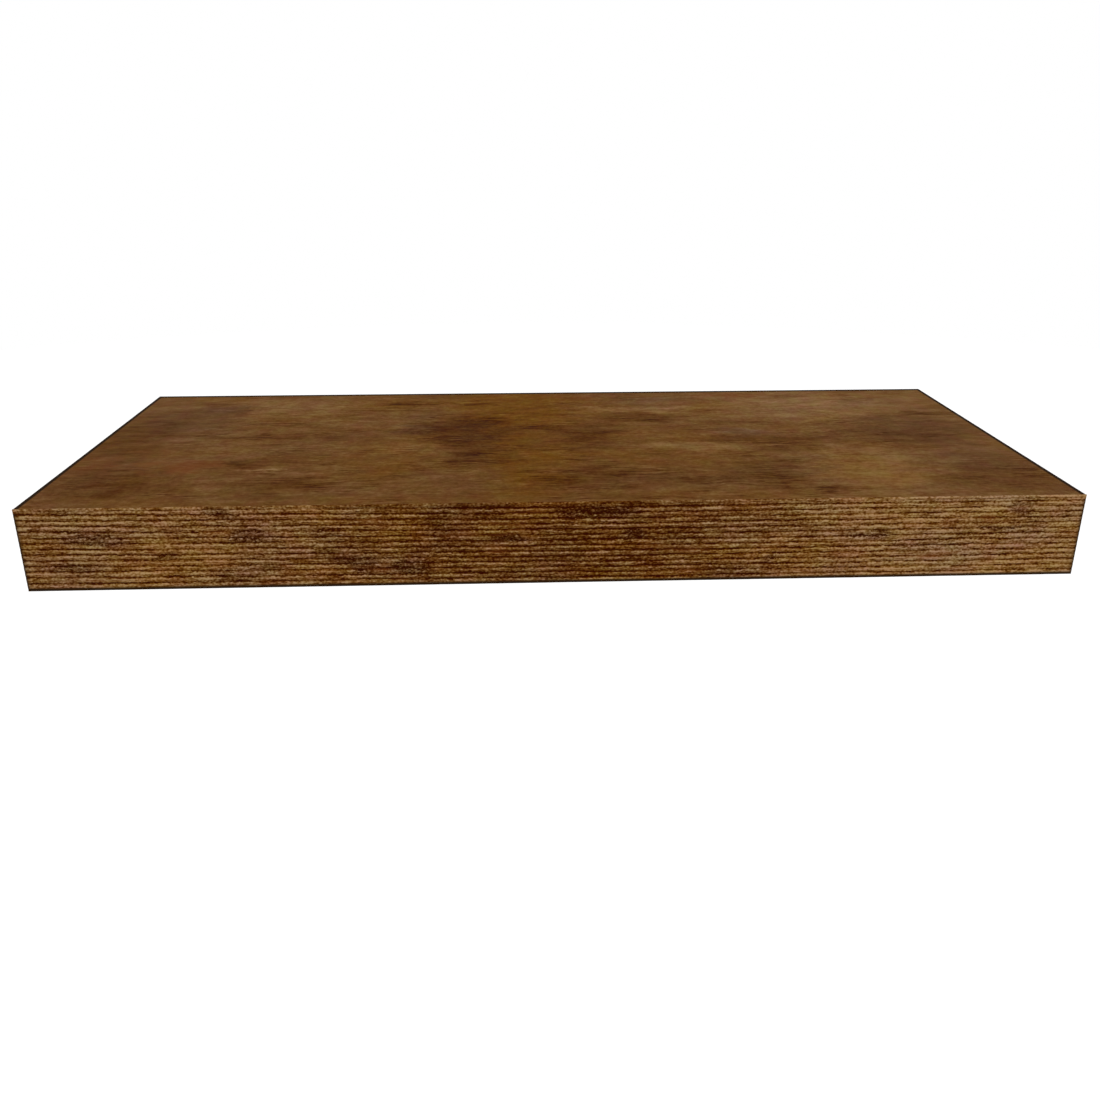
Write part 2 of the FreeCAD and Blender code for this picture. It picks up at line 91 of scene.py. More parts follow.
WHITE = srgb(255, 255, 255)
# The dark brown of the painted shade along the shelf's edges
EDGE_SHADE_BROWN = srgb(38, 24, 12)
# The browns of the wood print on a screen, from its darkest groove to its palest crest
WOOD_BROWNS = ((0.0, (45, 12, 0)), (0.25, (74, 41, 1)), (0.5, (101, 68, 31)), (0.75, (129, 97, 60)),
               (1.0, (157, 125, 92)))
MIDDLE_BROWN = 0.5
# The red that a brown loses for each step of blue that it gains, so that it stays as light
RED_FOR_BLUE = 0.36


def browns(grey: float, green: float = 0.0, fade: float = 0.0) -> Stops:
    """Turn the browns greyer, or more golden.

    Args:
        grey: What is added to the blue of each brown, from 0 to 255. Less than 0 makes them golden.
        green: What is added to the green of each brown, from 0 to 255.
        fade: How much bluer the palest brown gets than the darkest. Half of that goes to the green.

    Returns:
        The stops of a ramp.
    """
    stops = []
    for place, (r, g, b) in WOOD_BROWNS:
        faded = fade * (place - MIDDLE_BROWN)
        colour = srgb(r - RED_FOR_BLUE * grey, max(g + green + faded / 2, 0), max(b + grey + faded, 0))
        stops.append((place, colour))
    return stops


class Wire:
    """One output of a node, on which Python's operators add Math nodes."""

    def __init__(self, sheet: NodeSheet, node: bpy.types.Node, output: int | str) -> None:
        """Hold a node's output.

        Args:
            sheet: The sheet that the node is on.
            node: The node.
            output: The output's name or number.
        """
        self.sheet = sheet
        self.node = node
        self.output = output

    @property
    def socket(self) -> bpy.types.NodeSocket:
        """Return the output's socket."""
        return self.node.outputs[self.output]

    def other(self, output: int | str) -> Wire:
        """Return another output of the same node."""
        return Wire(self.sheet, self.node, output)

    def __add__(self, value: Value) -> Wire:
        """Return this value plus another."""
        return self.sheet.maths("ADD", self, value)

    __radd__ = __add__

    def __sub__(self, value: Value) -> Wire:
        """Return this value less another."""
        return self.sheet.maths("SUBTRACT", self, value)

    def __rsub__(self, value: Value) -> Wire:
        """Return another value less this one."""
        return self.sheet.maths("SUBTRACT", value, self)

    def __mul__(self, value: Value) -> Wire:
        """Return this value times another."""
        return self.sheet.maths("MULTIPLY", self, value)

    __rmul__ = __mul__

    def __truediv__(self, value: Value) -> Wire:
        """Return this value over another."""
        return self.sheet.maths("DIVIDE", self, value)

    def __rtruediv__(self, value: Value) -> Wire:
        """Return another value over this one."""
        return self.sheet.maths("DIVIDE", value, self)

    def __pow__(self, value: Value) -> Wire:
        """Return this value to a power."""
        return self.sheet.maths("POWER", self, value)

    def __rpow__(self, value: Value) -> Wire:
        """Return another value to the power of this one."""
        return self.sheet.maths("POWER", value, self)

    def __abs__(self) -> Wire:
        """Return this value without its sign."""
        return self.sheet.maths("ABSOLUTE", self)


NOISE_MEAN = 0.5


@dataclass(frozen=True)
class Pattern:
    """Noise of one kind.

    Attributes:
        size: The length of its features along each axis, in millimetres.
        detail: The number of finer layers on top.
        roughness: The strength of those layers.
        swirl: How far it is distorted.
        strength: How much it changes what it is added to.
    """

    size: Triple
    detail: float = 2.0
    roughness: float = 0.5
    swirl: float = 0.0
    strength: float = 1.0


# The numbers of a Mix node's sockets where it mixes colours
MIX_FACTOR, MIX_LOW, MIX_HIGH, MIX_RESULT = 0, 6, 7, 2


class NodeSheet:
    """A node tree that a finish is drawn on."""

    def __init__(self, tree: bpy.types.NodeTree) -> None:
        """Start with an empty tree."""
        self.tree = tree
        self.tree.nodes.clear()

    def node(self, kind: str, settings: dict[str, Any] | None = None,
             sockets: dict[int | str, Any] | None = None, output: int | str = 0) -> Wire:
        """Add a node.

        Args:
            kind: The node's type.
            settings: Its own settings, which are set first. A ramp takes its stops here.
            sockets: Values or wires for its inputs, by name or number.
            output: The output that is wanted.

        Returns:
            That output.
        """
        made = self.tree.nodes.new(kind)
        for name, value in (settings or {}).items():
            if name == "stops":
                self._set_stops(made.color_ramp, value)
            else:
                setattr(made, name, value)
        for key, value in (sockets or {}).items():
            if isinstance(value, Wire):
                self.tree.links.new(value.socket, made.inputs[key])
            else:
                made.inputs[key].default_value = value
        return Wire(self, made, output)

    @staticmethod
    def _set_stops(ramp: bpy.types.ColorRamp, stops: Stops) -> None:
        """Give a ramp its stops.

        Args:
            ramp: The ramp, which comes with two stops.
            stops: The places and colours, from low to high.
        """
        while len(ramp.elements) < len(stops):
            ramp.elements.new(0.5)
        for element, (place, colour) in zip(ramp.elements, stops):
            element.position = place
            element.color = colour

    def maths(self, operation: str, *values: Value) -> Wire:
        """Return a Math node's result."""
        return self.node("ShaderNodeMath", {"operation": operation}, dict(enumerate(values)))

    def vector(self, operation: str, *values: Wire | Triple, output: str = "Vector") -> Wire:
        """Return a Vector Math node's result."""
        return self.node("ShaderNodeVectorMath", {"operation": operation}, dict(enumerate(values)), output)

    def mix(self, factor: Value, low: Wire | Colour, high: Wire | Colour) -> Wire:
        """Return the mix of two colours, of which the factor is the share of the second."""
        sockets = {MIX_FACTOR: factor, MIX_LOW: low, MIX_HIGH: high}
        return self.node("ShaderNodeMix", {"data_type": "RGBA", "clamp_factor": True}, sockets, MIX_RESULT)

    def ramp(self, value: Value, stops: Stops) -> Wire:
        """Return the colour that a ramp gives a value."""
        return self.node("ShaderNodeValToRGB", {"stops": stops}, {0: value})

    def greened(self, colour: Wire, change: Wire) -> Wire:
        """Return a colour whose green is changed by a share."""
        shares = self.node("ShaderNodeCombineXYZ", sockets={0: 1.0, 1: 1.0 + change, 2: 1.0})
        return self.vector("MULTIPLY", colour, shares)

    def step(self, value: Value, low: float, high: float) -> Wire:
        """Return a smooth step from 0 at low to 1 at high, whichever of them is larger."""
        return self.node("ShaderNodeMapRange", {"interpolation_type": "SMOOTHSTEP"},
                         {"Value": value, "From Min": low, "From Max": high})

    def place(self) -> Wire:
        """Return the place on the piece in millimetres."""
        return self.vector("DIVIDE", self.node("ShaderNodeTexCoord", output="Object"), (MM, MM, MM))

    def axes(self, point: Wire) -> tuple[Wire, Wire, Wire]:
        """Return a point's three parts."""
        apart = self.node("ShaderNodeSeparateXYZ", sockets={0: point})
        return apart, apart.other("Y"), apart.other("Z")

    def noise(self, point: Wire, pattern: Pattern) -> Wire:
        """Return a pattern's noise, 0.5 on average, at a place in millimetres.

        Args:
            point: The place.
            pattern: The pattern.

        Returns:
            The noise.
        """
        at = self.vector("DIVIDE", point, pattern.size)
        return self.node("ShaderNodeTexNoise", {"noise_dimensions": "3D"},
                         {"Vector": at, "Scale": 1.0, "Detail": pattern.detail,
                          "Roughness": pattern.roughness, "Distortion": pattern.swirl})

    def wave(self, point: Wire, pattern: Pattern) -> Wire:
        """Return a pattern's noise at its own strength, 0 on average."""
        return pattern.strength * (self.noise(point, pattern) - NOISE_MEAN)

    def lines(self, point: Wire, pattern: Pattern, width: Span) -> Wire:
        """Return thin lines, which run where a pattern's noise passes its average."""
        return self.step(abs(self.noise(point, pattern) - NOISE_MEAN), *width)

    def stirred(self, point: Wire, pattern: Pattern, reach: Triple) -> Wire:
        """Return a place that a pattern pushes about, by up to a reach along each axis."""
        return self.vector("MULTIPLY_ADD", self.noise(point, pattern).other("Color"), reach, point)

    def chips(self, point: Wire, size: Triple) -> Wire:
        """Return cells of a given size in millimetres, with their distance and their random colour."""
        at = self.vector("DIVIDE", point, size)
        return self.node("ShaderNodeTexVoronoi", sockets={"Vector": at, "Scale": 1.0})


@dataclass(frozen=True)
class Finish:
    """A finish that is painted once and shared by the pieces that wear it.

    Attributes:
        smooth: The roughness where it is smoothest.
        rough: The roughness where it is roughest.
        shine: The level of the shine on what isn't metal.
        metal: The share of bare metal.
        relief: The height of its fine relief in millimetres.
    """

    name: ClassVar[str]
    painted: ClassVar[dict[str, bpy.types.Material]] = {}
    smooth: float = 0.5
    rough: float = 0.5
    shine: float = 0.5
    metal: float = 0.0
    relief: float = 0.1

    def paint(self, sheet: NodeSheet) -> None:
        """Draw the finish on a sheet."""
        raise NotImplementedError

    def material(self) -> bpy.types.Material:
        """Give the finish as a material, painted at its first use.

        Returns:
            The material.
        """
        if self.name not in self.painted:
            made = bpy.data.materials.new(f"{self.name}_finish")
            made.use_nodes = True
            self.paint(NodeSheet(made.node_tree))
            self.painted[self.name] = made
        return self.painted[self.name]

    def roughness(self, share: Wire) -> Wire:
        """Return a roughness that goes from the smoothest to the roughest with a share."""
        return self.smooth + (self.rough - self.smooth) * share

    def coat(self, sheet: NodeSheet, colour: Wire, roughness: Wire, height: Wire) -> None:
        """Close a sheet with one shader.

        Args:
            sheet: The sheet to draw on.
            colour: The base colour.
            roughness: The roughness.
            height: The fine relief, from 0 to 1.
        """
        bump = sheet.node("ShaderNodeBump", sockets={"Strength": 1.0, "Distance": self.relief * MM,
                                                     "Height": height})
        shader = sheet.node("ShaderNodeBsdfPrincipled",
                            sockets={"Base Color": colour, "Roughness": roughness, "Metallic": self.metal,
                                     "Specular IOR Level": self.shine, "Normal": bump})
        sheet.node("ShaderNodeOutputMaterial", sockets={"Surface": shader})


@dataclass(frozen=True)
class Zone:
    """A soft oval on the print: its middle, from the left end and from the wall, and its radii."""

    along: float
    out: float
    radius_along: float
    radius_out: float


@dataclass(frozen=True)
class Blotch(Zone):
    """A stain, with how much it darkens. Below 0 it lightens."""

    darkens: float = 0.0


@dataclass(frozen=True)
class Tint(Zone):
    """A colour cast: how much greyer it is, or more golden below 0, and its share of red."""

    grey: float = 0.0
    red: float = 0.0


TOP_BLOTCHES = (
    Blotch(24, 118, 30, 66, 0.12), Blotch(250, 104, 36, 36, 0.16), Blotch(252, 166, 26, 40, 0.14),
    Blotch(331, 126, 22, 36, 0.14), Blotch(376, 82, 30, 17, 0.12), Blotch(552, 122, 52, 44, 0.12),
    Blotch(338, 214, 27, 25, 0.12), Blotch(441, 212, 32, 30, 0.12), Blotch(388, 224, 27, 8, 0.16),
    Blotch(577, 222, 46, 40, 0.08), Blotch(40, 216, 46, 40, 0.13), Blotch(138, 221, 36, 16, 0.13),
    Blotch(303, 226, 22, 10, 0.14), Blotch(73, 48, 12, 15, 0.14), Blotch(200, 32, 19, 6, 0.18),
    Blotch(253, 37, 13, 8, 0.14), Blotch(461, 243, 20, 6, 0.20), Blotch(588, 76, 17, 7, 0.16),
    Blotch(300, 105, 17, 11, 0.16), Blotch(125, 120, 52, 9, 0.12), Blotch(455, 138, 70, 8, 0.14),
    Blotch(470, 158, 22, 14, 0.12), Blotch(541, 38, 18, 16, 0.08), Blotch(118, 178, 26, 13, 0.14),
    Blotch(305, 130, 90, 170, 0.06), Blotch(220, 106, 20, 22, 0.08), Blotch(260, 83, 18, 6, 0.14),
    Blotch(120, 45, 60, 30, -0.08), Blotch(367, 55, 52, 10, -0.14), Blotch(500, 50, 62, 50, -0.14),
    Blotch(398, 153, 40, 14, -0.11), Blotch(500, 202, 54, 58, -0.1), Blotch(207, 152, 24, 13, -0.10),
    Blotch(122, 196, 10, 4, -0.24), Blotch(580, 40, 40, 30, -0.06),
)
TOP_TINTS = (
    Tint(285, 42, 52, 62, -12), Tint(205, 28, 62, 40, -6), Tint(290, 165, 34, 85, -9),
    Tint(195, 172, 30, 60, -5), Tint(340, 110, 40, 110, -5), Tint(395, 160, 36, 34, -3),
    Tint(497, 206, 30, 46, -5), Tint(420, 58, 42, 32, -3), Tint(300, 254, 240, 14, -3),
    Tint(50, 86, 46, 60, 6), Tint(64, 42, 20, 14, 6), Tint(215, 106, 18, 16, 9), Tint(562, 120, 50, 42, 6),
    Tint(440, 122, 16, 14, 8), Tint(385, 28, 26, 10, 6), Tint(546, 36, 16, 20, 5), Tint(455, 190, 24, 50, 3),
    Tint(576, 212, 42, 50, 4), Tint(24, 182, 26, 40, 4),
    Tint(330, 18, 26, 9, red=0.25), Tint(455, 17, 34, 8, red=0.4), Tint(72, 184, 30, 14, red=0.45),
    Tint(18, 175, 16, 22, red=0.25),
)


@dataclass(frozen=True)
class PrintedBoard(Finish):
    """Satin wood print on thin fibreboard, with raw fibre on every face but the printed one."""

    half_width: float = 305.0
    printed_level: Span = (24.93, 24.95)
    # Insets of the painted shade along the print's ends and its back
    end_line: Span = (3.5, 2.5)
    back_line: Span = (5.2, 3.2)
    shine: float = 0.002
    relief: float = 0.012
    raw_rougher: float = 0.3
    satin: Pattern = Pattern((28.0, 9.0, 28.0), 3.0, strength=0.2)
    pores: Pattern = Pattern((9.0, 0.5, 9.0), 2.0, 0.6)
    raw: Colour = srgb(122, 88, 58)
    raw_dark: Colour = srgb(84, 56, 34)
    fibre: Pattern = Pattern((1.2, 1.2, 0.5), 3.0, 0.7)

    # The light and dark of the wood
    tone: float = 0.51
    wide: Pattern = Pattern((90.0, 50.0, 60.0), strength=0.2)
    flame: Pattern = Pattern((19.0, 8.0, 20.0), 5.0, 0.68, 0.3, 0.55)
    streak: Pattern = Pattern((40.0, 3.2, 6.0), 4.0, 0.6, strength=0.05)
    grain: Pattern = Pattern((34.0, 1.1, 6.0), 3.0, 0.65, strength=0.22)

    # Its flecks and strokes, which are strongest midway along the board and towards the room
    fleck: Pattern = Pattern((3.0, 2.6, 3.0), 2.0, 0.6, strength=0.36)
    stroke: Pattern = Pattern((40.0, 4.2, 8.0), 4.0, 0.62, 0.3, 0.2)
    stroke_width: Span = (0.07, 0.01)
    # A painted highlight: a pale stroke behind each dark one, its offset and its strength
    highlight_behind: Triple = (0.0, 1.8, 0.0)
    worn: float = 0.3
    breaks: Pattern = Pattern((40.0, 15.0, 20.0))
    unbroken: Span = (0.48, 0.64)
    strong_along: Span = (300.0, 210.0)
    strong_out: Span = (-165.0, -215.0)
    weakest: float = 0.3

    # Its stains and colour casts
    blotches: tuple[Blotch, ...] = ()
    tints: tuple[Tint, ...] = ()
    ragged: Pattern = Pattern((26.0, 13.0, 30.0), 5.0, 0.68)
    ragged_reach: Triple = (80.0, 44.0, 0.0)
    zone_edge: Span = (1.3, 0.35)
    mottle: Pattern = Pattern((14.0, 6.5, 20.0), 4.0, 0.7)
    mottle_least: float = 0.45
    mottle_stroke: float = 0.45
    cast: Pattern = Pattern((60.0, 40.0, 30.0), 3.0, 0.6, 0.4, 22.0)
    cast_level: float = -2.0
    golden: float = -14.0
    greyest: float = 18.0
    red: Colour = srgb(112, 60, 28)
    green: Pattern = Pattern((10.0, 16.0, 20.0), strength=0.55)

    def paint(self, sheet: NodeSheet) -> None:
        """Draw the print with painted shade as a dark line along its ends and its back, and the raw board.

        Args:
            sheet: The sheet to draw on.
        """
        point = sheet.place()
        x, y, z = sheet.axes(point)
        # Painted shade: a dark line along the print's ends and its back
        ends = sheet.step(abs(x), *(self.half_width - inset for inset in self.end_line))
        back = sheet.step(y, *(-inset for inset in self.back_line))
        colour = sheet.mix(sheet.maths("MAXIMUM", ends, back), self._print(sheet, point), EDGE_SHADE_BROWN)
        raw = sheet.mix(sheet.noise(point, self.fibre), self.raw, self.raw_dark)
        printed = sheet.step(abs(z), *self.printed_level)
        roughness = self.smooth + sheet.wave(point, self.satin) + self.raw_rougher * (1 - printed)
        self.coat(sheet, sheet.mix(printed, raw, colour), roughness, sheet.noise(point, self.pores))

    def _print(self, sheet: NodeSheet, point: Wire) -> Wire:
        """Draw the print with its stains and colour casts.

        Args:
            sheet: The sheet to draw on.
            point: The place in millimetres.

        Returns:
            The print's colour.
        """
        moved = sheet.stirred(point, self.ragged, self.ragged_reach)
        ragged = sheet.vector("SUBTRACT", moved, tuple(NOISE_MEAN * reach for reach in self.ragged_reach))
        lightness = self.tone + self._cloud(sheet, point)
        strokes = self.mottle_stroke * self._strokes(sheet, point)
        mottle = self.mottle_least + sheet.noise(point, self.mottle) + strokes
        for blotch in self.blotches:
            lightness = lightness - blotch.darkens * mottle * self._mask(sheet, ragged, blotch)
        cast = sheet.wave(point, self.cast) + self.cast_level
        for tint in self.tints:
            if tint.grey:
                cast = cast + tint.grey * self._mask(sheet, ragged, tint)
        greyness = (cast - self.golden) / (self.greyest - self.golden)
        colour = sheet.mix(greyness, sheet.ramp(lightness, browns(self.golden)),
                           sheet.ramp(lightness, browns(self.greyest)))
        for tint in self.tints:
            if tint.red:
                colour = sheet.mix(tint.red * self._mask(sheet, ragged, tint), colour, self.red)
        return sheet.greened(colour, sheet.wave(point, self.green))

    def _cloud(self, sheet: NodeSheet, point: Wire) -> Wire:
        """Draw the wood's light and dark: wide clouds, short flames, fine streaks and marks.

        Args:
            sheet: The sheet to draw on.
            point: The place in millimetres.

        Returns:
            The change of lightness, about 0 on average.
        """
        wood = sheet.wave(point, self.wide)
        for pattern in (self.flame, self.streak, self.grain):
            wood = wood + sheet.wave(point, pattern)
        unbroken = sheet.step(sheet.noise(point, self.breaks), *self.unbroken)
        strokes = self.stroke.strength * self._strokes(sheet, point) * unbroken
        x, y, _ = sheet.axes(point)
        strong = sheet.maths("MAXIMUM", sheet.step(abs(x), *self.strong_along),
                             sheet.step(y, *self.strong_out))
        marks = sheet.wave(point, self.fleck) - strokes
        return wood + marks * (self.weakest + (1 - self.weakest) * strong)

    def _strokes(self, sheet: NodeSheet, point: Wire) -> Wire:
        """Draw thin strokes along the grain, each with a pale painted highlight behind it.

        Args:
            sheet: The sheet to draw on.
            point: The place in millimetres.

        Returns:
            The mask, 1 in a stroke and below 0 in its painted highlight.
        """
        behind = sheet.vector("ADD", point, self.highlight_behind)
        # Painted highlight: a pale stroke beside each dark one
        worn = self.worn * sheet.lines(behind, self.stroke, self.stroke_width)
        return sheet.lines(point, self.stroke, self.stroke_width) - worn

    def _mask(self, sheet: NodeSheet, point: Wire, zone: Zone) -> Wire:
        """Draw the soft mask of a stain or a colour cast.

        Args:
            sheet: The sheet to draw on.
            point: The stirred place in millimetres.
            zone: The stain or the cast.

        Returns:
            The mask, 1 in the middle.
        """
        apart = sheet.vector("SUBTRACT", point, (zone.along - self.half_width, -zone.out, 0.0))
        flat = sheet.vector("MULTIPLY", apart, (1 / zone.radius_along, 1 / zone.radius_out, 0.0))
        return sheet.step(sheet.vector("LENGTH", flat, output="Value"), *self.zone_edge)


@dataclass(frozen=True)
class TopPrint(PrintedBoard):
    """The print on the top, with the stains that are placed on it."""

    name: ClassVar[str] = "printed_top"
    blotches: tuple[Blotch, ...] = TOP_BLOTCHES
    tints: tuple[Tint, ...] = TOP_TINTS


@dataclass(frozen=True)
class UndersidePrint(PrintedBoard):
    """The same print on the underside, where its stains fall by chance."""

    name: ClassVar[str] = "printed_underside"
    tone: float = 0.54
    away: Triple = (830.0, 410.0, 0.0)
    stain: Pattern = Pattern((95.0, 50.0, 60.0), 4.0, 0.66, 0.5, 0.2)
    stained: Span = (0.48, 0.72)

    def _cloud(self, sheet: NodeSheet, point: Wire) -> Wire:
        """Draw the wood's light and dark from another place, with stains of its own.

        Args:
            sheet: The sheet to draw on.
            point: The place in millimetres.

        Returns:
            The change of lightness.
        """
        away = sheet.vector("ADD", point, self.away)
        stain = sheet.step(sheet.noise(away, self.stain), *self.stained)
        return super()._cloud(sheet, away) - self.stain.strength * stain


# How far a crest, with its painted highlight, lies below its groove, as a share of the pitch
CREST_LAG = 0.4


@dataclass(frozen=True)
class EmbossedBand(Finish):
    """Deep embossed print, with a painted highlight on its crests, and dark in its grooves and patches."""

    name: ClassVar[str] = "embossed_band"
    layers: ClassVar[tuple[str, ...]] = ("ridge", "patch", "cut", "lit", "edge")
    smooth: float = 0.6
    groove_rougher: float = 0.15
    fleck_rougher: float = 0.1
    shine: float = 0.01
    relief: float = 0.05

    # The lines that follow the relief, with a painted highlight on each crest, and how ragged they are
    # outside the patches and in them
    ragged: Pattern = Pattern((1.8, 1.8, 1.1), 2.0, 0.6, strength=0.42)
    ragged_patch: float = 0.9
    groove_width: Span = (0.21, 0.02)
    groove_darkens: float = 0.56
    crest_width: Span = (0.19, 0.02)
    crest_highlight: float = 0.42

    # The light and dark of the print, and painted light that makes it paler towards both ends of the shelf
    body: float = 0.48
    right_end: Span = (25.0, 210.0)
    right_painted_light: float = 0.31
    left_end: Span = (25.0, -230.0)
    left_painted_light: float = 0.22
    cloud: Pattern = Pattern((46.0, 46.0, 9.0), 3.0, strength=0.15)
    fleck: Pattern = Pattern((1.5, 1.5, 1.1), 1.0, strength=1.25)
    fibre: Pattern = Pattern((14.0, 14.0, 1.3), 3.0, 0.6, strength=1.05)
    thread: Pattern = Pattern((18.0, 18.0, 1.7), 3.0, 0.6, strength=0.34)
    thread_width: Span = (0.05, 0.0)
    scribble: Pattern = Pattern((3.0, 3.0, 1.3), 3.0, 0.65, 0.5, 0.1)
    scribble_width: Span = (0.07, 0.0)
    scribble_patch: float = 0.42
    patch_darkens: float = 0.13

    # Its hue
    golden: Stops = tuple(browns(-12, -1.5, 12))
    greyest: Stops = tuple(browns(6, -1.5, 12))
    grey: Pattern = Pattern((50.0, 50.0, 16.0), 3.0, strength=0.5)
    grey_edge: Span = (0.36, 0.64)
    patch_grey: float = 0.8
    green: Pattern = Pattern((12.0, 12.0, 7.0), strength=0.5)
    red: Colour = srgb(112, 58, 20)
    reddened: Pattern = Pattern((30.0, 30.0, 5.0), strength=0.25)
    red_edge: Span = (0.6, 0.76)

    def paint(self, sheet: NodeSheet) -> None:
        """Draw the print's lines over the relief that the mesh carries, with painted highlights on the
        crests, painted light towards the ends and painted shade along the edges.

        Args:
            sheet: The sheet to draw on.
        """
        point = sheet.place()
        ridge, patch, cut, lit, edge = (
            sheet.node("ShaderNodeAttribute", {"attribute_name": name}, output="Fac") for name in self.layers)
        ragged = sheet.noise(point, self.ragged) - NOISE_MEAN
        phase = ridge + ragged * (self.ragged.strength + self.ragged_patch * patch)
        groove = cut * self._near_whole(sheet, phase, self.groove_width)
        # Painted highlight: a pale line along each crest, below its groove, where light from above falls
        crest = lit * self._near_whole(sheet, phase + CREST_LAG, self.crest_width)
        fleck = sheet.noise(point, self.fleck) - NOISE_MEAN
        fibre = sheet.noise(point, self.fibre) - NOISE_MEAN
        scribble = sheet.lines(point, self.scribble, self.scribble_width)
        thread = sheet.lines(point, self.thread, self.thread_width)
        dark = (scribble * (self.scribble.strength + self.scribble_patch * patch) + self.patch_darkens * patch
                + self.groove_darkens * groove + self.thread.strength * thread)
        x = sheet.axes(point)[0]
        # Painted light: the face is paler towards both ends of the shelf
        ends = (self.right_painted_light * sheet.step(x, *self.right_end)
                + self.left_painted_light * sheet.step(x, *self.left_end))
        fine = self.fleck.strength * fleck + self.fibre.strength * fibre
        lightness = (self.body + ends + self.crest_highlight * crest - dark
                     + sheet.wave(point, self.cloud) + fine)
        greyed = sheet.step(sheet.noise(point, self.grey), *self.grey_edge)
        colour = sheet.mix(self.grey.strength * greyed + self.patch_grey * patch,
                           sheet.ramp(lightness, self.golden), sheet.ramp(lightness, self.greyest))
        colour = sheet.greened(colour, sheet.wave(point, self.green))
        reddened = sheet.step(sheet.noise(point, self.reddened), *self.red_edge)
        colour = sheet.mix(self.reddened.strength * reddened, colour, self.red)
        # Painted shade: dark lines along the band's edges, read from the edge layer
        colour = sheet.mix(edge, colour, EDGE_SHADE_BROWN)
        roughness = self.smooth + self.groove_rougher * groove + self.fleck_rougher * fleck
        self.coat(sheet, colour, roughness, fibre)

    @staticmethod
    def _near_whole(sheet: NodeSheet, phase: Wire, width: Span) -> Wire:
        """Return a mask that is 1 where a phase is a whole number."""
        return sheet.step(abs(phase - sheet.maths("ROUND", phase)), *width)


@dataclass(frozen=True)
class BandCore(Finish):
    """The dyed plastic body of an edge band, seen along its cut edges."""

    name: ClassVar[str] = "band_core"
    smooth: float = 0.5
    rough: float = 0.7
    shine: float = 0.02
    relief: float = 0.02
    dark: Colour = srgb(28, 17, 10)
    pale: Colour = srgb(50, 33, 20)
    knife: Pattern = Pattern((0.8, 0.8, 6.0))

    def paint(self, sheet: NodeSheet) -> None:
        """Draw dark brown plastic with the fine marks of a trimming knife.

        Args:
            sheet: The sheet to draw on.
        """
        marks = sheet.noise(sheet.place(), self.knife)
        self.coat(sheet, sheet.mix(marks, self.dark, self.pale), self.roughness(marks), marks)


@dataclass(frozen=True)
class Particleboard(Finish):
    """Raw pressed wood chips."""

    name: ClassVar[str] = "particleboard"
    smooth: float = 0.82
    rough: float = 0.94
    shine: float = 0.15
    relief: float = 0.25
    stir: Pattern = Pattern((6.0, 6.0, 6.0))
    stir_reach: Triple = (5.0, 5.0, 3.0)
    large_chip: Triple = (5.2, 3.0, 1.3)
    small_chip: Triple = (2.0, 1.6, 0.7)
    large_tone: float = 0.62
    large_height: float = 0.6
    chips: Stops = ((0.0, srgb(96, 66, 40)), (0.22, srgb(146, 110, 72)), (0.6, srgb(184, 150, 106)),
                    (1.0, srgb(214, 186, 142)))
    dust: Pattern = Pattern((0.7, 0.7, 0.7), 3.0, 0.7, strength=0.35)
    dust_brown: Colour = srgb(126, 92, 58)

    def paint(self, sheet: NodeSheet) -> None:
        """Draw pale and dark chips lying every way, with dust between them.

        Args:
            sheet: The sheet to draw on.
        """
        point = sheet.place()
        stirred = sheet.stirred(point, self.stir, self.stir_reach)
        large, small = sheet.chips(stirred, self.large_chip), sheet.chips(stirred, self.small_chip)
        tone = (self.large_tone * sheet.axes(large.other("Color"))[0]
                + (1 - self.large_tone) * sheet.axes(small.other("Color"))[1])
        dust = sheet.noise(point, self.dust)
        colour = sheet.mix(self.dust.strength * dust, sheet.ramp(tone, self.chips), self.dust_brown)
        height = self.large_height * large + (1 - self.large_height) * small
        self.coat(sheet, colour, self.roughness(dust), height)


@dataclass(frozen=True)
class KraftPaper(Finish):
    """Brown paper of the honeycomb, with its fibres and glue marks."""

    name: ClassVar[str] = "kraft_honeycomb"
    smooth: float = 0.65
    rough: float = 0.9
    shine: float = 0.2
    relief: float = 0.05
    fibre: Pattern = Pattern((4.0, 4.0, 0.5), 4.0, 0.7, 1.2)
    fibres: Stops = ((0.3, srgb(140, 98, 58)), (0.5, srgb(170, 126, 80)), (0.72, srgb(196, 156, 108)))
    glue: Pattern = Pattern((14.0, 14.0, 5.0), strength=0.4)
    glued: Span = (0.56, 0.7)
    glue_brown: Colour = srgb(120, 82, 46)

    def paint(self, sheet: NodeSheet) -> None:
        """Draw matted fibres with paler flecks and darker glue.

        Args:
            sheet: The sheet to draw on.
        """
        point = sheet.place()
        fibre = sheet.noise(point, self.fibre)
        glue = sheet.step(sheet.noise(point, self.glue), *self.glued)
        colour = sheet.mix(self.glue.strength * glue, sheet.ramp(fibre, self.fibres), self.glue_brown)
        self.coat(sheet, colour, self.roughness(1 - glue), fibre)


@dataclass(frozen=True)
class Beech(Finish):
    """Raw turned beech with its short dark flecks."""

    name: ClassVar[str] = "beech"
    smooth: float = 0.62
    rough: float = 0.82
    shine: float = 0.3
    relief: float = 0.06
    grain: Pattern = Pattern((24.0, 1.0, 1.0), 3.0, 0.6)
    dark: Colour = srgb(188, 146, 98)
    pale: Colour = srgb(216, 180, 132)
    ray: Pattern = Pattern((2.6, 0.35, 0.35), strength=0.55)
    rayed: Span = (0.6, 0.68)
    ray_brown: Colour = srgb(138, 92, 54)

    def paint(self, sheet: NodeSheet) -> None:
        """Draw pale wood with rays along the dowel.

        Args:
            sheet: The sheet to draw on.
        """
        point = sheet.place()
        grain = sheet.noise(point, self.grain)
        ray = sheet.step(sheet.noise(point, self.ray), *self.rayed)
        colour = sheet.mix(self.ray.strength * ray, sheet.mix(grain, self.dark, self.pale), self.ray_brown)
        self.coat(sheet, colour, self.roughness(grain), grain)


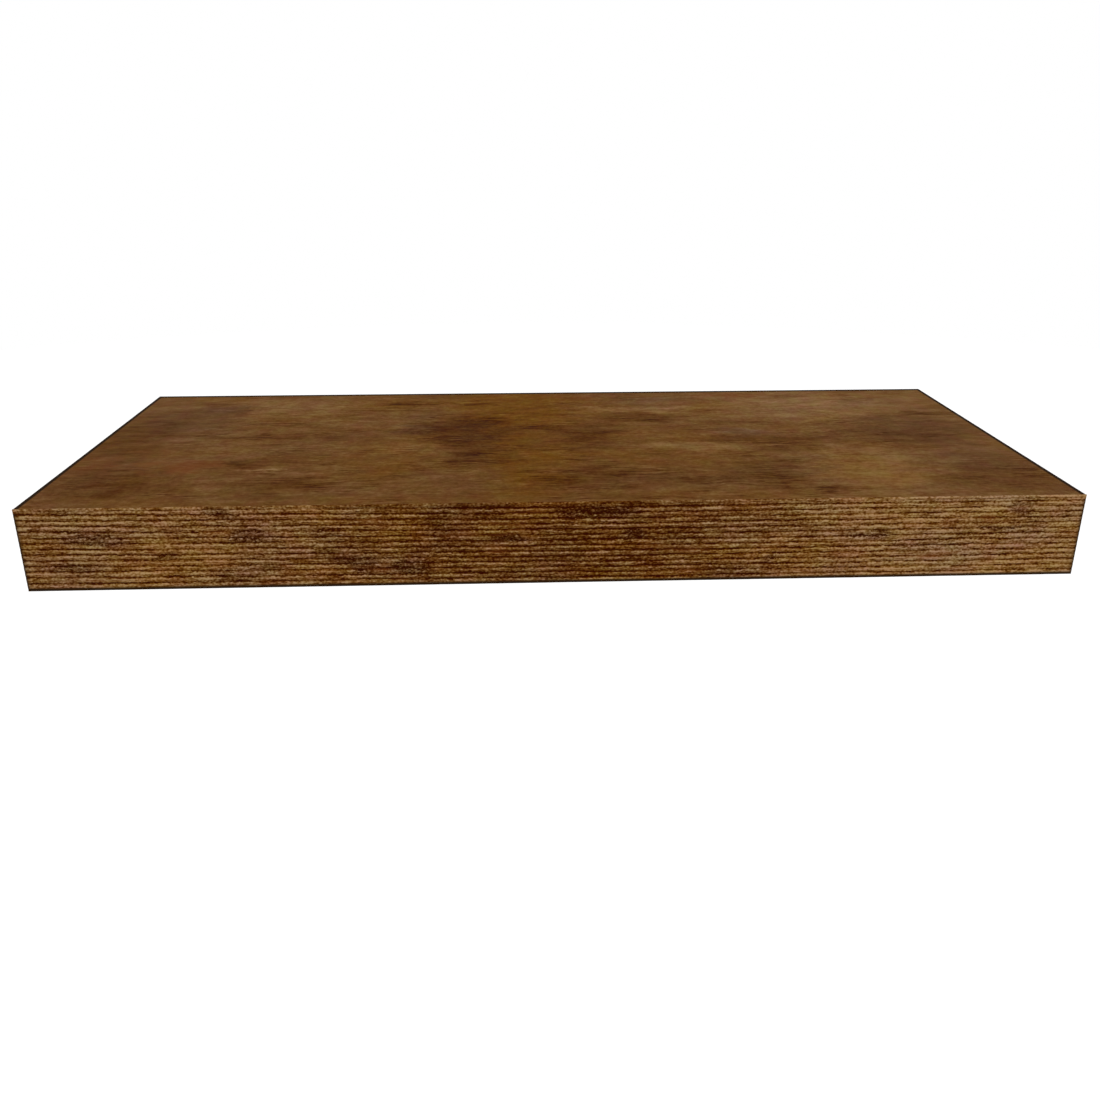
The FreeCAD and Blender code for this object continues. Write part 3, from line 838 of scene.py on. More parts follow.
@dataclass(frozen=True)
class PlatedSteel(Finish):
    """Rolled steel with a bright zinc plating, cloudy and faintly tinted, and duller where it is cut."""

    name: ClassVar[str] = "zinc_plated_steel"
    metal: float = 1.0
    relief: float = 0.012
    smooth: float = 0.24
    cloud_rougher: float = 0.22
    spangle_rougher: float = 0.08
    cut_rougher: float = 0.3
    cloud: Pattern = Pattern((30.0, 18.0, 14.0), 3.0, 0.6, strength=0.5)
    spangle: Triple = (3.2, 3.2, 3.2)
    spangle_tone: float = 0.2
    rolled: Pattern = Pattern((42.0, 0.35, 0.35), 2.0, 0.6, strength=0.3)
    zinc: Stops = ((0.3, srgb(158, 160, 163)), (0.5, srgb(186, 188, 190)), (0.72, srgb(208, 207, 202)))
    tint: Pattern = Pattern((55.0, 40.0, 22.0), 2.0, 0.5, 0.8, 0.35)
    tinted: Span = (0.5, 0.72)
    tint_straw: Colour = srgb(196, 186, 160)
    plate_face: Span = (-4.1, -4.0)
    edge_turn: Span = (0.95, 0.6)
    cut_darkens: float = 0.85
    cut_grey: Colour = srgb(92, 94, 98)

    def paint(self, sheet: NodeSheet) -> None:
        """Draw the plating's clouds and spangle, the rolling lines and the plate's sheared edges.

        Args:
            sheet: The sheet to draw on.
        """
        point = sheet.place()
        cloud, rolled = sheet.noise(point, self.cloud), sheet.noise(point, self.rolled)
        spangle = sheet.axes(sheet.chips(point, self.spangle).other("Color"))[0]
        tone = self.cloud.strength * cloud + self.spangle_tone * spangle + self.rolled.strength * rolled
        tint = sheet.step(sheet.noise(point, self.tint), *self.tinted)
        colour = sheet.mix(self.tint.strength * tint, sheet.ramp(tone, self.zinc), self.tint_straw)
        facing = sheet.axes(sheet.node("ShaderNodeTexCoord", output="Normal"))[1]
        in_plate = sheet.step(sheet.axes(point)[1], *self.plate_face)
        cut = in_plate * sheet.step(abs(facing), *self.edge_turn)
        colour = sheet.mix(self.cut_darkens * cut, colour, self.cut_grey)
        roughness = (self.smooth + self.cloud_rougher * cloud + self.spangle_rougher * spangle
                     + self.cut_rougher * cut)
        self.coat(sheet, colour, roughness, rolled)


@dataclass(frozen=True)
class WeldBead(Finish):
    """A bare weld bead with its heat colours."""

    name: ClassVar[str] = "weld_bead"
    metal: float = 1.0
    smooth: float = 0.34
    rough: float = 0.74
    relief: float = 0.08
    heat: Pattern = Pattern((3.4, 1.3, 3.4), 3.0, 0.6)
    heats: Stops = ((0.32, srgb(92, 96, 112)), (0.45, srgb(132, 130, 130)), (0.56, srgb(164, 150, 118)),
                    (0.68, srgb(126, 98, 74)))
    soot: Pattern = Pattern((0.7, 0.7, 0.7), strength=0.6)
    sooted: Span = (0.58, 0.68)
    soot_grey: Colour = srgb(52, 50, 50)

    def paint(self, sheet: NodeSheet) -> None:
        """Draw grey metal with straw, brown and blue heat tints and specks of soot.

        Args:
            sheet: The sheet to draw on.
        """
        point = sheet.place()
        heat = sheet.noise(point, self.heat)
        soot = sheet.step(sheet.noise(point, self.soot), *self.sooted)
        colour = sheet.mix(self.soot.strength * soot, sheet.ramp(heat, self.heats), self.soot_grey)
        self.coat(sheet, colour, self.roughness(soot), heat)


@dataclass(frozen=True)
class TurnedBrass(Finish):
    """Turned brass, with the fine rings of the lathe."""

    name: ClassVar[str] = "insert_brass"
    metal: float = 1.0
    smooth: float = 0.22
    rough: float = 0.48
    relief: float = 0.006
    offset: float = 150.0
    out: float = 75.5
    # How far the rings' wave turns in a millimetre, in radians
    ring_turn: float = 26.0
    tarnish: Pattern = Pattern((3.0, 3.0, 3.0), 3.0, 0.6)
    bright: Colour = srgb(216, 182, 108)
    dull: Colour = srgb(180, 138, 66)

    def paint(self, sheet: NodeSheet) -> None:
        """Draw rings round each insert's axis and a light tarnish.

        Args:
            sheet: The sheet to draw on.
        """
        point = sheet.place()
        x, y, z = sheet.axes(point)
        aside, ahead = abs(x) - self.offset, y + self.out
        radius = (aside * aside + ahead * ahead) ** 0.5
        rings = sheet.maths("SINE", self.ring_turn * (radius + z)) * 0.5 + 0.5
        tarnish = sheet.noise(point, self.tarnish)
        self.coat(sheet, sheet.mix(tarnish, self.bright, self.dull), self.roughness(tarnish), rings)


@dataclass(frozen=True)
class BlackOxide(Finish):
    """Blackened steel, worn to grey here and there."""

    name: ClassVar[str] = "blackened_steel"
    metal: float = 1.0
    smooth: float = 0.36
    rough: float = 0.56
    relief: float = 0.01
    wear: Pattern = Pattern((1.1, 1.1, 0.6), 3.0, 0.65)
    worn: Span = (0.52, 0.74)
    black: Colour = srgb(46, 46, 48)
    grey: Colour = srgb(104, 102, 100)
    grit: Pattern = Pattern((0.3, 0.3, 0.3))

    def paint(self, sheet: NodeSheet) -> None:
        """Draw the dark oxide with patches of wear.

        Args:
            sheet: The sheet to draw on.
        """
        point = sheet.place()
        wear = sheet.step(sheet.noise(point, self.wear), *self.worn)
        grit = sheet.noise(point, self.grit)
        self.coat(sheet, sheet.mix(wear, self.black, self.grey), self.roughness(grit), grit)


@dataclass(frozen=True)
class StudioFloor(Finish):
    """A pale floor that shows white to the camera and keeps the shelf's shadow."""

    name: ClassVar[str] = "studio_floor"
    pale: float = 0.86
    lift: float = 0.24

    def paint(self, sheet: NodeSheet) -> None:
        """Draw a matt floor with a little light of its own for the camera and for reflections.

        Args:
            sheet: The sheet to draw on.
        """
        matt = sheet.node("ShaderNodeBsdfDiffuse", sockets={"Color": (self.pale, self.pale, self.pale, 1.0)})
        glow = sheet.node("ShaderNodeEmission", sockets={"Color": WHITE, "Strength": self.lift})
        both = sheet.node("ShaderNodeAddShader", sockets={0: matt, 1: glow})
        shown = sheet.node("ShaderNodeMixShader", sockets={0: seen_by_eye(sheet), 1: matt, 2: both})
        sheet.node("ShaderNodeOutputMaterial", sockets={"Surface": shown})


def seen_by_eye(sheet: NodeSheet) -> Wire:
    """Tell what is seen from what only gives light.

    Args:
        sheet: The sheet to draw on.

    Returns:
        1 for rays from the camera, off shiny things and through glass, and 0 for light.
    """
    path = sheet.node("ShaderNodeLightPath", output="Is Camera Ray")
    shiny = sheet.maths("MAXIMUM", path, path.other("Is Glossy Ray"))
    return sheet.maths("MAXIMUM", shiny, path.other("Is Transmission Ray"))


def ease(share: np.ndarray) -> np.ndarray:
    """Return a smooth step of a share, held between 0 and 1."""
    held = np.clip(share, 0, 1)
    return held * held * (3 - 2 * held)


@dataclass(frozen=True)
class Weave:
    """Seeded noise on a flat face: its strength, and the length and height of its features."""

    strength: float
    length: float
    height: float


@dataclass(frozen=True)
class Run:
    """Seeded noise along numbered lines: its strength, and the length of its features."""

    strength: float
    length: float


class Grain:
    """Draws smooth seeded noise over a flat face, in millimetres."""

    # Knots past the last whole one, so that every place lies between two
    spare_knots: ClassVar[int] = 3

    def __init__(self, seed: int) -> None:
        """Start a run of draws."""
        self.draw = np.random.default_rng(seed)

    def field(self, along: np.ndarray, up: np.ndarray, *weaves: Weave) -> np.ndarray:
        """Draw noise over the face.

        Args:
            along: Places along the face, from 0.
            up: Places up the face, from 0.
            weaves: The kinds of noise that are added up.

        Returns:
            The noise, about 0 on average.
        """
        total = np.zeros_like(along)
        for weave in weaves:
            a, b = along / weave.length, up / weave.height
            counts = [int(part.max()) + self.spare_knots for part in (a, b)]
            knots = self.draw.uniform(-1, 1, counts)
            i, j = a.astype(int), b.astype(int)
            u, v = ease(a - i), ease(b - j)
            low = knots[i, j] * (1 - u) + knots[i + 1, j] * u
            high = knots[i, j + 1] * (1 - u) + knots[i + 1, j + 1] * u
            total = total + weave.strength * (low * (1 - v) + high * v)
        return total

    def along_lines(self, line: np.ndarray, along: np.ndarray, *runs: Run) -> np.ndarray:
        """Draw noise that runs along numbered lines, each with values of its own.

        Args:
            line: The number of the line at each place.
            along: Places along the face, from 0.
            runs: The kinds of noise that are added up.

        Returns:
            The noise, about 0 on average.
        """
        total = np.zeros_like(along)
        for run in runs:
            row, a = line - line.min(), along / run.length
            knots = self.draw.uniform(-1, 1, (row.max() + 1, int(a.max()) + self.spare_knots))
            i = a.astype(int)
            u = ease(a - i)
            total = total + run.strength * (knots[row, i] * (1 - u) + knots[row, i + 1] * u)
        return total


def node_corners(node: str) -> tuple[np.ndarray, np.ndarray]:
    """Return a node's lowest and highest corner in millimetres."""
    low, high = (np.array(corner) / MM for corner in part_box(node))
    return low, high


def add_piece(name: str, points: np.ndarray, faces: Sequence[Sequence[int]], *finishes: Finish,
              smooth: Sequence[bool] | bool = False) -> bpy.types.Object:
    """Make a piece from points and faces.

    Args:
        name: The piece's name.
        points: Its points in millimetres, in the frame.
        faces: The point numbers of each face.
        finishes: Its finishes. Its faces wear the first.
        smooth: Which faces are shaded smooth, or one answer for all.

    Returns:
        The piece.
    """
    mesh = bpy.data.meshes.new(name)
    mesh.from_pydata((points * MM).tolist(), [], faces)
    flags = np.full(len(faces), smooth) if isinstance(smooth, bool) else np.array(smooth)
    mesh.polygons.foreach_set("use_smooth", flags)
    mesh.validate()
    piece = bpy.data.objects.new(name, mesh)
    bpy.context.scene.collection.objects.link(piece)
    for finish in finishes:
        mesh.materials.append(finish.material())
    return piece


def stand_for(piece: bpy.types.Object, node: str, body: str) -> None:
    """Let a piece stand for a CAD node.

    Args:
        piece: The piece.
        node: The node that it replaces.
        body: The body that it rides on.
    """
    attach(piece, body)
    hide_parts(node)
    LOG.info("%s stands for %s with %d faces", piece.name, node, len(piece.data.polygons))


def dress_node(node: str, finish: Finish) -> None:
    """Give a CAD node a finish in each of its material slots.

    Args:
        node: The node.
        finish: The finish.
    """
    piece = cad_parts[node]
    for slot in piece.material_slots:
        slot.material = finish.material()
    LOG.info("%s keeps its CAD shape in %s", node, finish.name)


def skin_rings(rings: np.ndarray, looped: bool) -> tuple[np.ndarray, list[list[int]]]:
    """Join rings of points into a closed skin.

    Args:
        rings: Rings by points by three.
        looped: Whether the last ring joins the first. Otherwise each end closes on its middle.

    Returns:
        The points and the faces.
    """
    count, around = rings.shape[:2]
    points = rings.reshape(-1, 3)
    faces = []
    for r in range(count if looped else count - 1):
        for k in range(around):
            n = (k + 1) % around
            s = (r + 1) % count
            faces.append([r * around + k, r * around + n, s * around + n, s * around + k])
    if not looped:
        first, last = len(points), len(points) + 1
        points = np.vstack([points, rings[0].mean(0), rings[-1].mean(0)])
        end = (count - 1) * around
        for k in range(around):
            n = (k + 1) % around
            faces.append([first, n, k])
            faces.append([last, end + k, end + n])
    return points, faces


class Facing(Enum):
    """The way that an edge band's embossed face looks."""

    FRONT = "front"
    LEFT = "left"
    RIGHT = "right"


@dataclass(frozen=True)
class Patch:
    """A dark crackled lens in the embossed face: its middle from the left and from the top, and its size."""

    along: float
    down: float
    length: float
    height: float
    strength: float = 1.0


FRONT_PATCHES = (
    Patch(46, 19, 46, 7), Patch(111, 4, 24, 6), Patch(131, 18, 37, 8), Patch(23, 36, 34, 6, 0.8),
    Patch(73, 30, 27, 6, 0.7), Patch(189, 35, 27, 12), Patch(223, 38, 30, 9), Patch(277, 22, 27, 7, 1.2),
    Patch(326, 5.5, 46, 9, 1.2), Patch(345, 20, 27, 8, 1.1), Patch(433, 37, 18, 8, 0.8),
    Patch(488, 23, 34, 7), Patch(564, 20, 34, 5), Patch(570, 7, 27, 7, 0.8),
)


@dataclass(frozen=True)
class Drift:
    """How the ridges of a band lean: their numbers shift along it, more at the top than at the bottom."""

    start: float = 0.0
    start_rise: float = 0.0
    gain: float = 0.0
    gain_rise: float = 0.0
    reach: float = 430.0

    def at(self, along: np.ndarray, up: np.ndarray) -> np.ndarray:
        """Work out the shift of the ridges' numbers.

        Args:
            along: Places along the face.
            up: Places up the face.

        Returns:
            The shift at each place.
        """
        level = up / up.max()
        gone = 1 - (1 - np.minimum(along / self.reach, 1)) ** 2
        return self.start + self.start_rise * level + (self.gain + self.gain_rise * level) * gone


FRONT_DRIFT = Drift(-0.376, -0.66, 0.275, 0.86)


@dataclass
class EdgeBand:
    """An edge band whose embossed ridges are cut into its mesh."""

    node: str
    facing: Facing
    seed: int
    patches: tuple[Patch, ...] = ()
    drift: Drift = Drift()
    step_along: float = 0.8
    step_up: float = 0.3

    # Its rounded edges, and the painted shade that draws dark lines along the bottom and the ends
    corner: float = 0.4
    corner_turns: Triple = (0.0, 25.0, 50.0)
    thinnest: float = 0.2
    rim: float = 2.3
    rim_flatter: float = 0.6
    edge_shade: float = 0.95
    edge_line: float = 1.3
    end_line: float = 2.3

    # The lip along the front's upper edge with its painted highlight, dimmest midway along it, and the groove
    # under it
    lip: float = 0.9
    lip_groove: float = 0.7
    lip_lit: float = 0.6
    lip_dim_reach: float = 0.4

    # The ridges. Strengths are shares of the pitch, of a full groove or crest, or of the relief
    pitch: float = 3.36
    wander: tuple[Weave, ...] = (Weave(0.08, 70, 12), Weave(0.08, 28, 4))
    jitter: tuple[Weave, ...] = (Weave(0.6, 5, 2.2), Weave(0.4, 2.6, 1.2))
    jitter_least: float = 0.12
    jitter_patch: float = 0.24
    cut_level: float = 0.84
    cut_runs: tuple[Run, ...] = (Run(0.22, 34), Run(0.28, 8))
    cut_patch: float = 0.2
    cut_limits: tuple[float, float] = (0.12, 1.15)
    # How much each crest is lit: it scales both the crest's rise and its painted highlight
    lit_level: float = 0.7
    lit_runs: tuple[Run, ...] = (Run(0.22, 40), Run(0.26, 9))
    lit_patch: float = 0.4
    line_width: float = 0.15
    relief: float = 0.45
    face_level: float = 0.6
    crest_rise: float = 0.36
    groove_fall: float = 0.6
    crack: Weave = Weave(1, 4, 1.3)
    crack_fall: float = 0.3
    fibre: tuple[Weave, ...] = (Weave(0.6, 17, 0.9), Weave(0.4, 5, 0.6))
    fibre_rise: float = 0.14

    # The patches, and the faint ones that fall by chance
    sway_along: Weave = Weave(9, 18, 6)
    sway_up: Weave = Weave(2.2, 12, 5)
    patch_radius: float = 0.62
    patch_slope: float = 1.5
    faint: Weave = Weave(1, 34, 7)
    faint_start: float = 0.2
    faint_span: float = 0.5
    faint_strength: float = 0.3
    patch_speckle: Weave = Weave(0.25, 3, 1.5)

    def build(self) -> None:
        """Make the band, and let it stand for its node."""
        low, high = node_corners(self.node)
        front = self.facing is Facing.FRONT
        length_axis, thickness_axis = (0, 1) if front else (1, 0)
        s = self._stations(high[length_axis] - low[length_axis], self.step_along, front)
        t = self._stations(high[2] - low[2], self.step_up, True)
        along, up = np.meshgrid(s, t, indexing="ij")
        layers = self._emboss(along, up)
        height = layers.pop("height")
        drop, rim = self._rounding(along, up)
        # The edge layer holds the painted shade along the edges
        layers["edge"] = self._edge_lines(along, up, rim)
        thickness = high[thickness_axis] - low[thickness_axis]
        sunk = self.relief * (1 - height) * (1 - self.rim_flatter * rim)
        face = np.stack([along, up, np.maximum(thickness - drop - sunk, self.thinnest)], -1).reshape(-1, 3)
        bottom, top = (np.stack([s, np.full_like(s, level), np.zeros_like(s)], -1) for level in (t[0], t[-1]))
        points = self._placed(np.vstack([face, bottom, top]), low, high)
        faces, fronts = self._faces(len(s), len(t))
        cut = np.arange(len(faces)) >= fronts
        piece = add_piece(f"{self.node}.embossed", points, faces, EmbossedBand(), BandCore(), smooth=~cut)
        self._store_layers(piece, layers)
        if front:
            # Each column has a lower edge, an upper edge and a back, and its upper edge is printed too
            cut[fronts + 1:fronts + 3 * (len(s) - 1):3] = False
        piece.data.polygons.foreach_set("material_index", cut.astype(int))
        stand_for(piece, self.node, SHELF_BODY)

    def _stations(self, length: float, step: float, rounded: bool) -> np.ndarray:
        """Space places evenly over a length, with closer ones where an edge is rounded.

        Args:
            length: The length.
            step: The distance between places.
            rounded: Whether both ends are rounded.

        Returns:
            The places from 0 to the length.
        """
        if not rounded:
            return np.linspace(0, length, int(length / step) + 1)
        arc = self.corner * (1 - np.cos(np.radians(self.corner_turns)))
        inner = np.linspace(self.corner, length - self.corner, int(length / step) + 1)
        return np.concatenate([arc, inner, length - arc[::-1]])

    def _rounding(self, along: np.ndarray, up: np.ndarray) -> tuple[np.ndarray, np.ndarray]:
        """Work out how the face falls away at its rounded edges.

        Args:
            along: Places along the face.
            up: Places up the face.

        Returns:
            The drop in millimetres, and 1 at an edge that fades to 0 beside it.
        """
        edges = [up, up.max() - up]
        if self.facing is Facing.FRONT:
            edges += [along, along.max() - along]
        near = np.minimum.reduce(edges)
        inside = np.clip(self.corner - near, 0, self.corner)
        drop = self.corner - np.sqrt(self.corner ** 2 - inside ** 2)
        return drop, 1 - ease((near - self.edge_line) / (self.rim - self.edge_line))

    def _edge_lines(self, along: np.ndarray, up: np.ndarray, rim: np.ndarray) -> np.ndarray:
        """Draw the painted shade as dark lines along the edges, apart from the front's upper one.

        Args:
            along: Places along the face.
            up: Places up the face.
            rim: 1 at an edge that fades to 0 beside it.

        Returns:
            The strength of the lines.
        """
        if self.facing is not Facing.FRONT:
            return self.edge_shade * rim
        bottom = 1 - ease((up - self.edge_line) / (self.rim - self.edge_line))
        near_end = np.minimum(along, along.max() - along)
        ends = 1 - ease((near_end - self.corner) / (self.end_line - self.corner))
        return np.where(up.max() - up < self.rim, 0, self.edge_shade * np.maximum(bottom, ends))

    def _patch_mask(self, along: np.ndarray, up: np.ndarray, grain: Grain) -> np.ndarray:
        """Draw where the face is crackled and dark.

        Args:
            along: Places along the face.
            up: Places up the face.
            grain: The noise to draw from.

        Returns:
            The strength of the patches, 0 outside them.
        """
        swayed_along = along + grain.field(along, up, self.sway_along)
        swayed_down = up.max() - up + grain.field(along, up, self.sway_up)
        faint = ease((grain.field(along, up, self.faint) - self.faint_start) / self.faint_span)
        mask = self.faint_strength * faint
        for patch in self.patches:
            a = (swayed_along - patch.along) / (self.patch_radius * patch.length)
            b = (swayed_down - patch.down) / (self.patch_radius * patch.height)
            mask = np.maximum(mask, patch.strength * ease(self.patch_slope * (1 - np.sqrt(a * a + b * b))))
        speckle = grain.field(along, up, self.patch_speckle)
        return mask * (1 - self.patch_speckle.strength + speckle)

    def _emboss(self, along: np.ndarray, up: np.ndarray) -> dict[str, np.ndarray]:
        """Draw the ridges, the broken grooves between them and the crackle of the patches.

        Args:
            along: Places along the face.
            up: Places up the face.

        Returns:
            The height, from 0 in a groove to 1 on a crest; the number of the ridge, which runs on between
            ridges; the patches; and how deep each groove is cut and how much each crest is lit.
        """
        grain = Grain(self.seed)
        patch = self._patch_mask(along, up, grain)
        wander = grain.field(along, up, *self.wander)
        jitter = grain.field(along, up, *self.jitter) * (self.jitter_least + self.jitter_patch * patch)
        ridge = up / self.pitch + self.drift.at(along, up) + wander + jitter
        under = up.max() - up
        lipped = (under < self.lip + self.lip_groove) & (self.facing is Facing.FRONT)
        fall = (1 - CREST_LAG) * ease((under - self.lip) / self.lip_groove)
        ridge = np.where(lipped, np.rint(up.max() / self.pitch) + 1 - CREST_LAG - fall, ridge)
        line, above = np.rint(ridge).astype(int), np.rint(ridge + CREST_LAG).astype(int)
        cut = self.cut_level + grain.along_lines(line, along, *self.cut_runs)
        cut = np.clip(cut + self.cut_patch * patch, *self.cut_limits)
        lit = self.lit_level + grain.along_lines(above, along, *self.lit_runs)
        lit = np.clip(lit - self.lit_patch * patch, 0, 1)
        off_middle = abs(along / along.max() - 0.5)
        # Painted highlight along the lip, dimmest midway along the front
        lit = np.where(lipped, self.lip_lit * lit * ease(off_middle / self.lip_dim_reach), lit)
        groove = cut * self._line(ridge - line)
        crest = lit * self._line(ridge + CREST_LAG - above)
        crack = np.clip(patch, 0, 1) * self._line(grain.field(along, up, self.crack))
        fibre = grain.field(along, up, *self.fibre)
        height = (self.face_level + self.crest_rise * crest - self.groove_fall * groove
                  - self.crack_fall * crack + self.fibre_rise * fibre)
        return {"height": np.clip(height, 0, 1), "ridge": ridge, "patch": patch, "cut": cut, "lit": lit}

    def _line(self, off: np.ndarray) -> np.ndarray:
        """Return the rounded profile of a line, 1 in its middle."""
        return np.exp(-(off / self.line_width) ** 2)

    @staticmethod
    def _store_layers(piece: bpy.types.Object, layers: dict[str, np.ndarray]) -> None:
        """Store the emboss on the points of the face, for the finish to read.

        Args:
            piece: The band.
            layers: The values of each layer, by name.
        """
        for name, values in layers.items():
            store = piece.data.attributes.new(name, "FLOAT", "POINT")
            full = np.zeros(len(piece.data.vertices), np.float32)
            full[:values.size] = values.ravel()
            store.data.foreach_set("value", full)

    def _placed(self, points: np.ndarray, low: np.ndarray, high: np.ndarray) -> np.ndarray:
        """Turn places on the band into the frame.

        Args:
            points: Along, up and out for each point.
            low: The node's lowest corner.
            high: The node's highest corner.

        Returns:
            The points in millimetres.
        """
        along, up, out = points.T
        if self.facing is Facing.FRONT:
            return np.stack([low[0] + along, high[1] - out, low[2] + up], -1)
        if self.facing is Facing.RIGHT:
            return np.stack([low[0] + out, low[1] + along, low[2] + up], -1)
        return np.stack([high[0] - out, high[1] - along, low[2] + up], -1)

    @staticmethod
    def _faces(columns: int, rows: int) -> tuple[list[list[int]], int]:
        """Number the faces of a band: the embossed face first, then its edges and its back.

        Args:
            columns: Places along the face.
            rows: Places up the face.

        Returns:
            The faces, and how many of them are the embossed face.
        """
        number = np.arange(columns * rows).reshape(columns, rows)
        bottom = columns * rows + np.arange(columns)
        top = bottom + columns
        front = np.stack([number[:-1, :-1], number[1:, :-1], number[1:, 1:], number[:-1, 1:]], -1)
        faces = front.reshape(-1, 4).tolist()
        fronts = len(faces)
        for c in range(columns - 1):
            faces.append([bottom[c], bottom[c + 1], number[c + 1, 0], number[c, 0]])
            faces.append([number[c, -1], number[c + 1, -1], top[c + 1], top[c]])
            faces.append([top[c], top[c + 1], bottom[c + 1], bottom[c]])
        middle = rows // 2
        for c, flip in ((0, False), (columns - 1, True)):
            fan = [[bottom[c], number[c, r], number[c, r + 1]] for r in range(middle)]
            fan.append([bottom[c], number[c, middle], top[c]])
            fan += [[top[c], number[c, r], number[c, r + 1]] for r in range(middle, rows - 1)]
            faces += [face[::-1] if flip else face for face in fan]
        return [[int(n) for n in face] for face in faces], fronts


@dataclass
class Skins:
    """The two printed boards that close the core above and below."""

    top: str = "top_panel"
    underside: str = "bottom_panel"

    def build(self) -> None:
        """Keep the boards' CAD shapes and dress them in the print."""
        dress_node(self.top, TopPrint())
        dress_node(self.underside, UndersidePrint())


@dataclass
class BoardFrame:
    """The particleboard frame, its dowels and the honeycomb in its bays."""

    rails: tuple[str, ...] = ("left_end_rail", "right_end_rail", "front_rail", "back_rail",
                              "left_rod_rail", "right_rod_rail")
    cores: tuple[str, ...] = ("left_honeycomb", "centre_honeycomb", "right_honeycomb")
    flutes: int = 20
    flute_depth: float = 0.22
    points_per_flute: int = 6
    chamfer: float = 1.0

    def build(self) -> None:
        """Dress the rails and the honeycomb, and flute the dowels."""
        for node in self.rails:
            dress_node(node, Particleboard())
        for node in self.cores:
            dress_node(node, KraftPaper())
        for row in ("front", "back"):
            for side in SIDES:
                for level in ("upper", "lower"):
                    self._flute_dowel(f"{row}_{side}_dowel_{level}")

    def _flute_dowel(self, node: str) -> None:
        """Make a fluted dowel in place of a plain one.

        Args:
            node: The dowel's node.
        """
        low, high = node_corners(node)
        middle, radius = (low + high) / 2, (high[2] - low[2]) / 2
        angle = np.linspace(0, FULL_TURN, self.flutes * self.points_per_flute, endpoint=False)
        valley = np.maximum(np.cos(angle * self.flutes), 0)
        stations = [(low[0], radius - self.chamfer), (low[0] + self.chamfer, radius),
                    (high[0] - self.chamfer, radius), (high[0], radius - self.chamfer)]
        rings = []
        for x, limit in stations:
            r = np.minimum(radius - self.flute_depth * valley, limit)
            rings.append(np.stack([np.full_like(r, x), middle[1] + r * np.cos(angle),
                                   middle[2] + r * np.sin(angle)], -1))
        points, faces = skin_rings(np.array(rings), looped=False)
        stand_for(add_piece(f"{node}.fluted", points, faces, Beech()), node, SHELF_BODY)


@dataclass
class WallBracket:
    """The steel plate, its two rods and the weld beads round them."""

    steel: tuple[str, ...] = ("wall_plate", "left_support_rod", "right_support_rod")
    ripples: int = 26
    stations_per_ripple: int = 5
    stations_across: int = 9
    bulge: float = 0.28
    bulge_least: float = 0.25
    bulge_lean: float = 0.7
    sink: float = 0.05
    evenness: tuple[float, float] = (0.82, 1.0)
    leg_out_uneven: float = 0.04
    leg_up_uneven: float = 0.05
    seed: int = 5

    def build(self) -> None:
        """Dress the plated steel and lay a rippled bead round each rod."""
        for node in self.steel:
            dress_node(node, PlatedSteel())
        for number, side in enumerate(SIDES):
            self._lay_bead(f"{side}_rod_weld", f"{side}_support_rod", self.seed + number)

    def _lay_bead(self, node: str, rod: str, seed: int) -> None:
        """Make a weld bead whose face bulges in ripples.

        Args:
            node: The bead's node.
            rod: The rod that it goes round.
            seed: The seed of its unevenness.
        """
        low, high = node_corners(node)
        rod_low, rod_high = node_corners(rod)
        centre = (low + high) / 2
        inner, outer = (rod_high[2] - rod_low[2]) / 2 - self.sink, (high[2] - low[2]) / 2
        count = self.ripples * self.stations_per_ripple
        draw = np.random.default_rng(seed)
        uneven = np.repeat(draw.uniform(*self.evenness, self.ripples), self.stations_per_ripple)
        across = np.linspace(0, 1, self.stations_across)
        rings = []
        for n in range(count):
            angle = FULL_TURN * n / count
            wave = (n % self.stations_per_ripple) / self.stations_per_ripple
            leg_out = (outer - inner) * (1 - self.leg_out_uneven * (1 - uneven[n]))
            leg_up = (high[1] - low[1]) * (1 - self.leg_up_uneven * (1 - uneven[n]))
            ripple = self.bulge_least + (1 - self.bulge_least) * wave
            swell = self.bulge * ripple * uneven[n] * np.sin(math.pi * across) * self.bulge_lean
            r = np.append(inner + leg_out * (1 - across) + swell, inner)
            y = np.append(high[1] - leg_up * across - swell, high[1])
            rings.append(np.stack([centre[0] + r * math.cos(angle), y,
                                   centre[2] + r * math.sin(angle)], -1))
        points, faces = skin_rings(np.array(rings), looped=True)
        outward = [face[::-1] for face in faces]
        piece = add_piece(f"{node}.rippled", points, outward, WeldBead(), smooth=True)
        stand_for(piece, node, BRACKET_BODY)


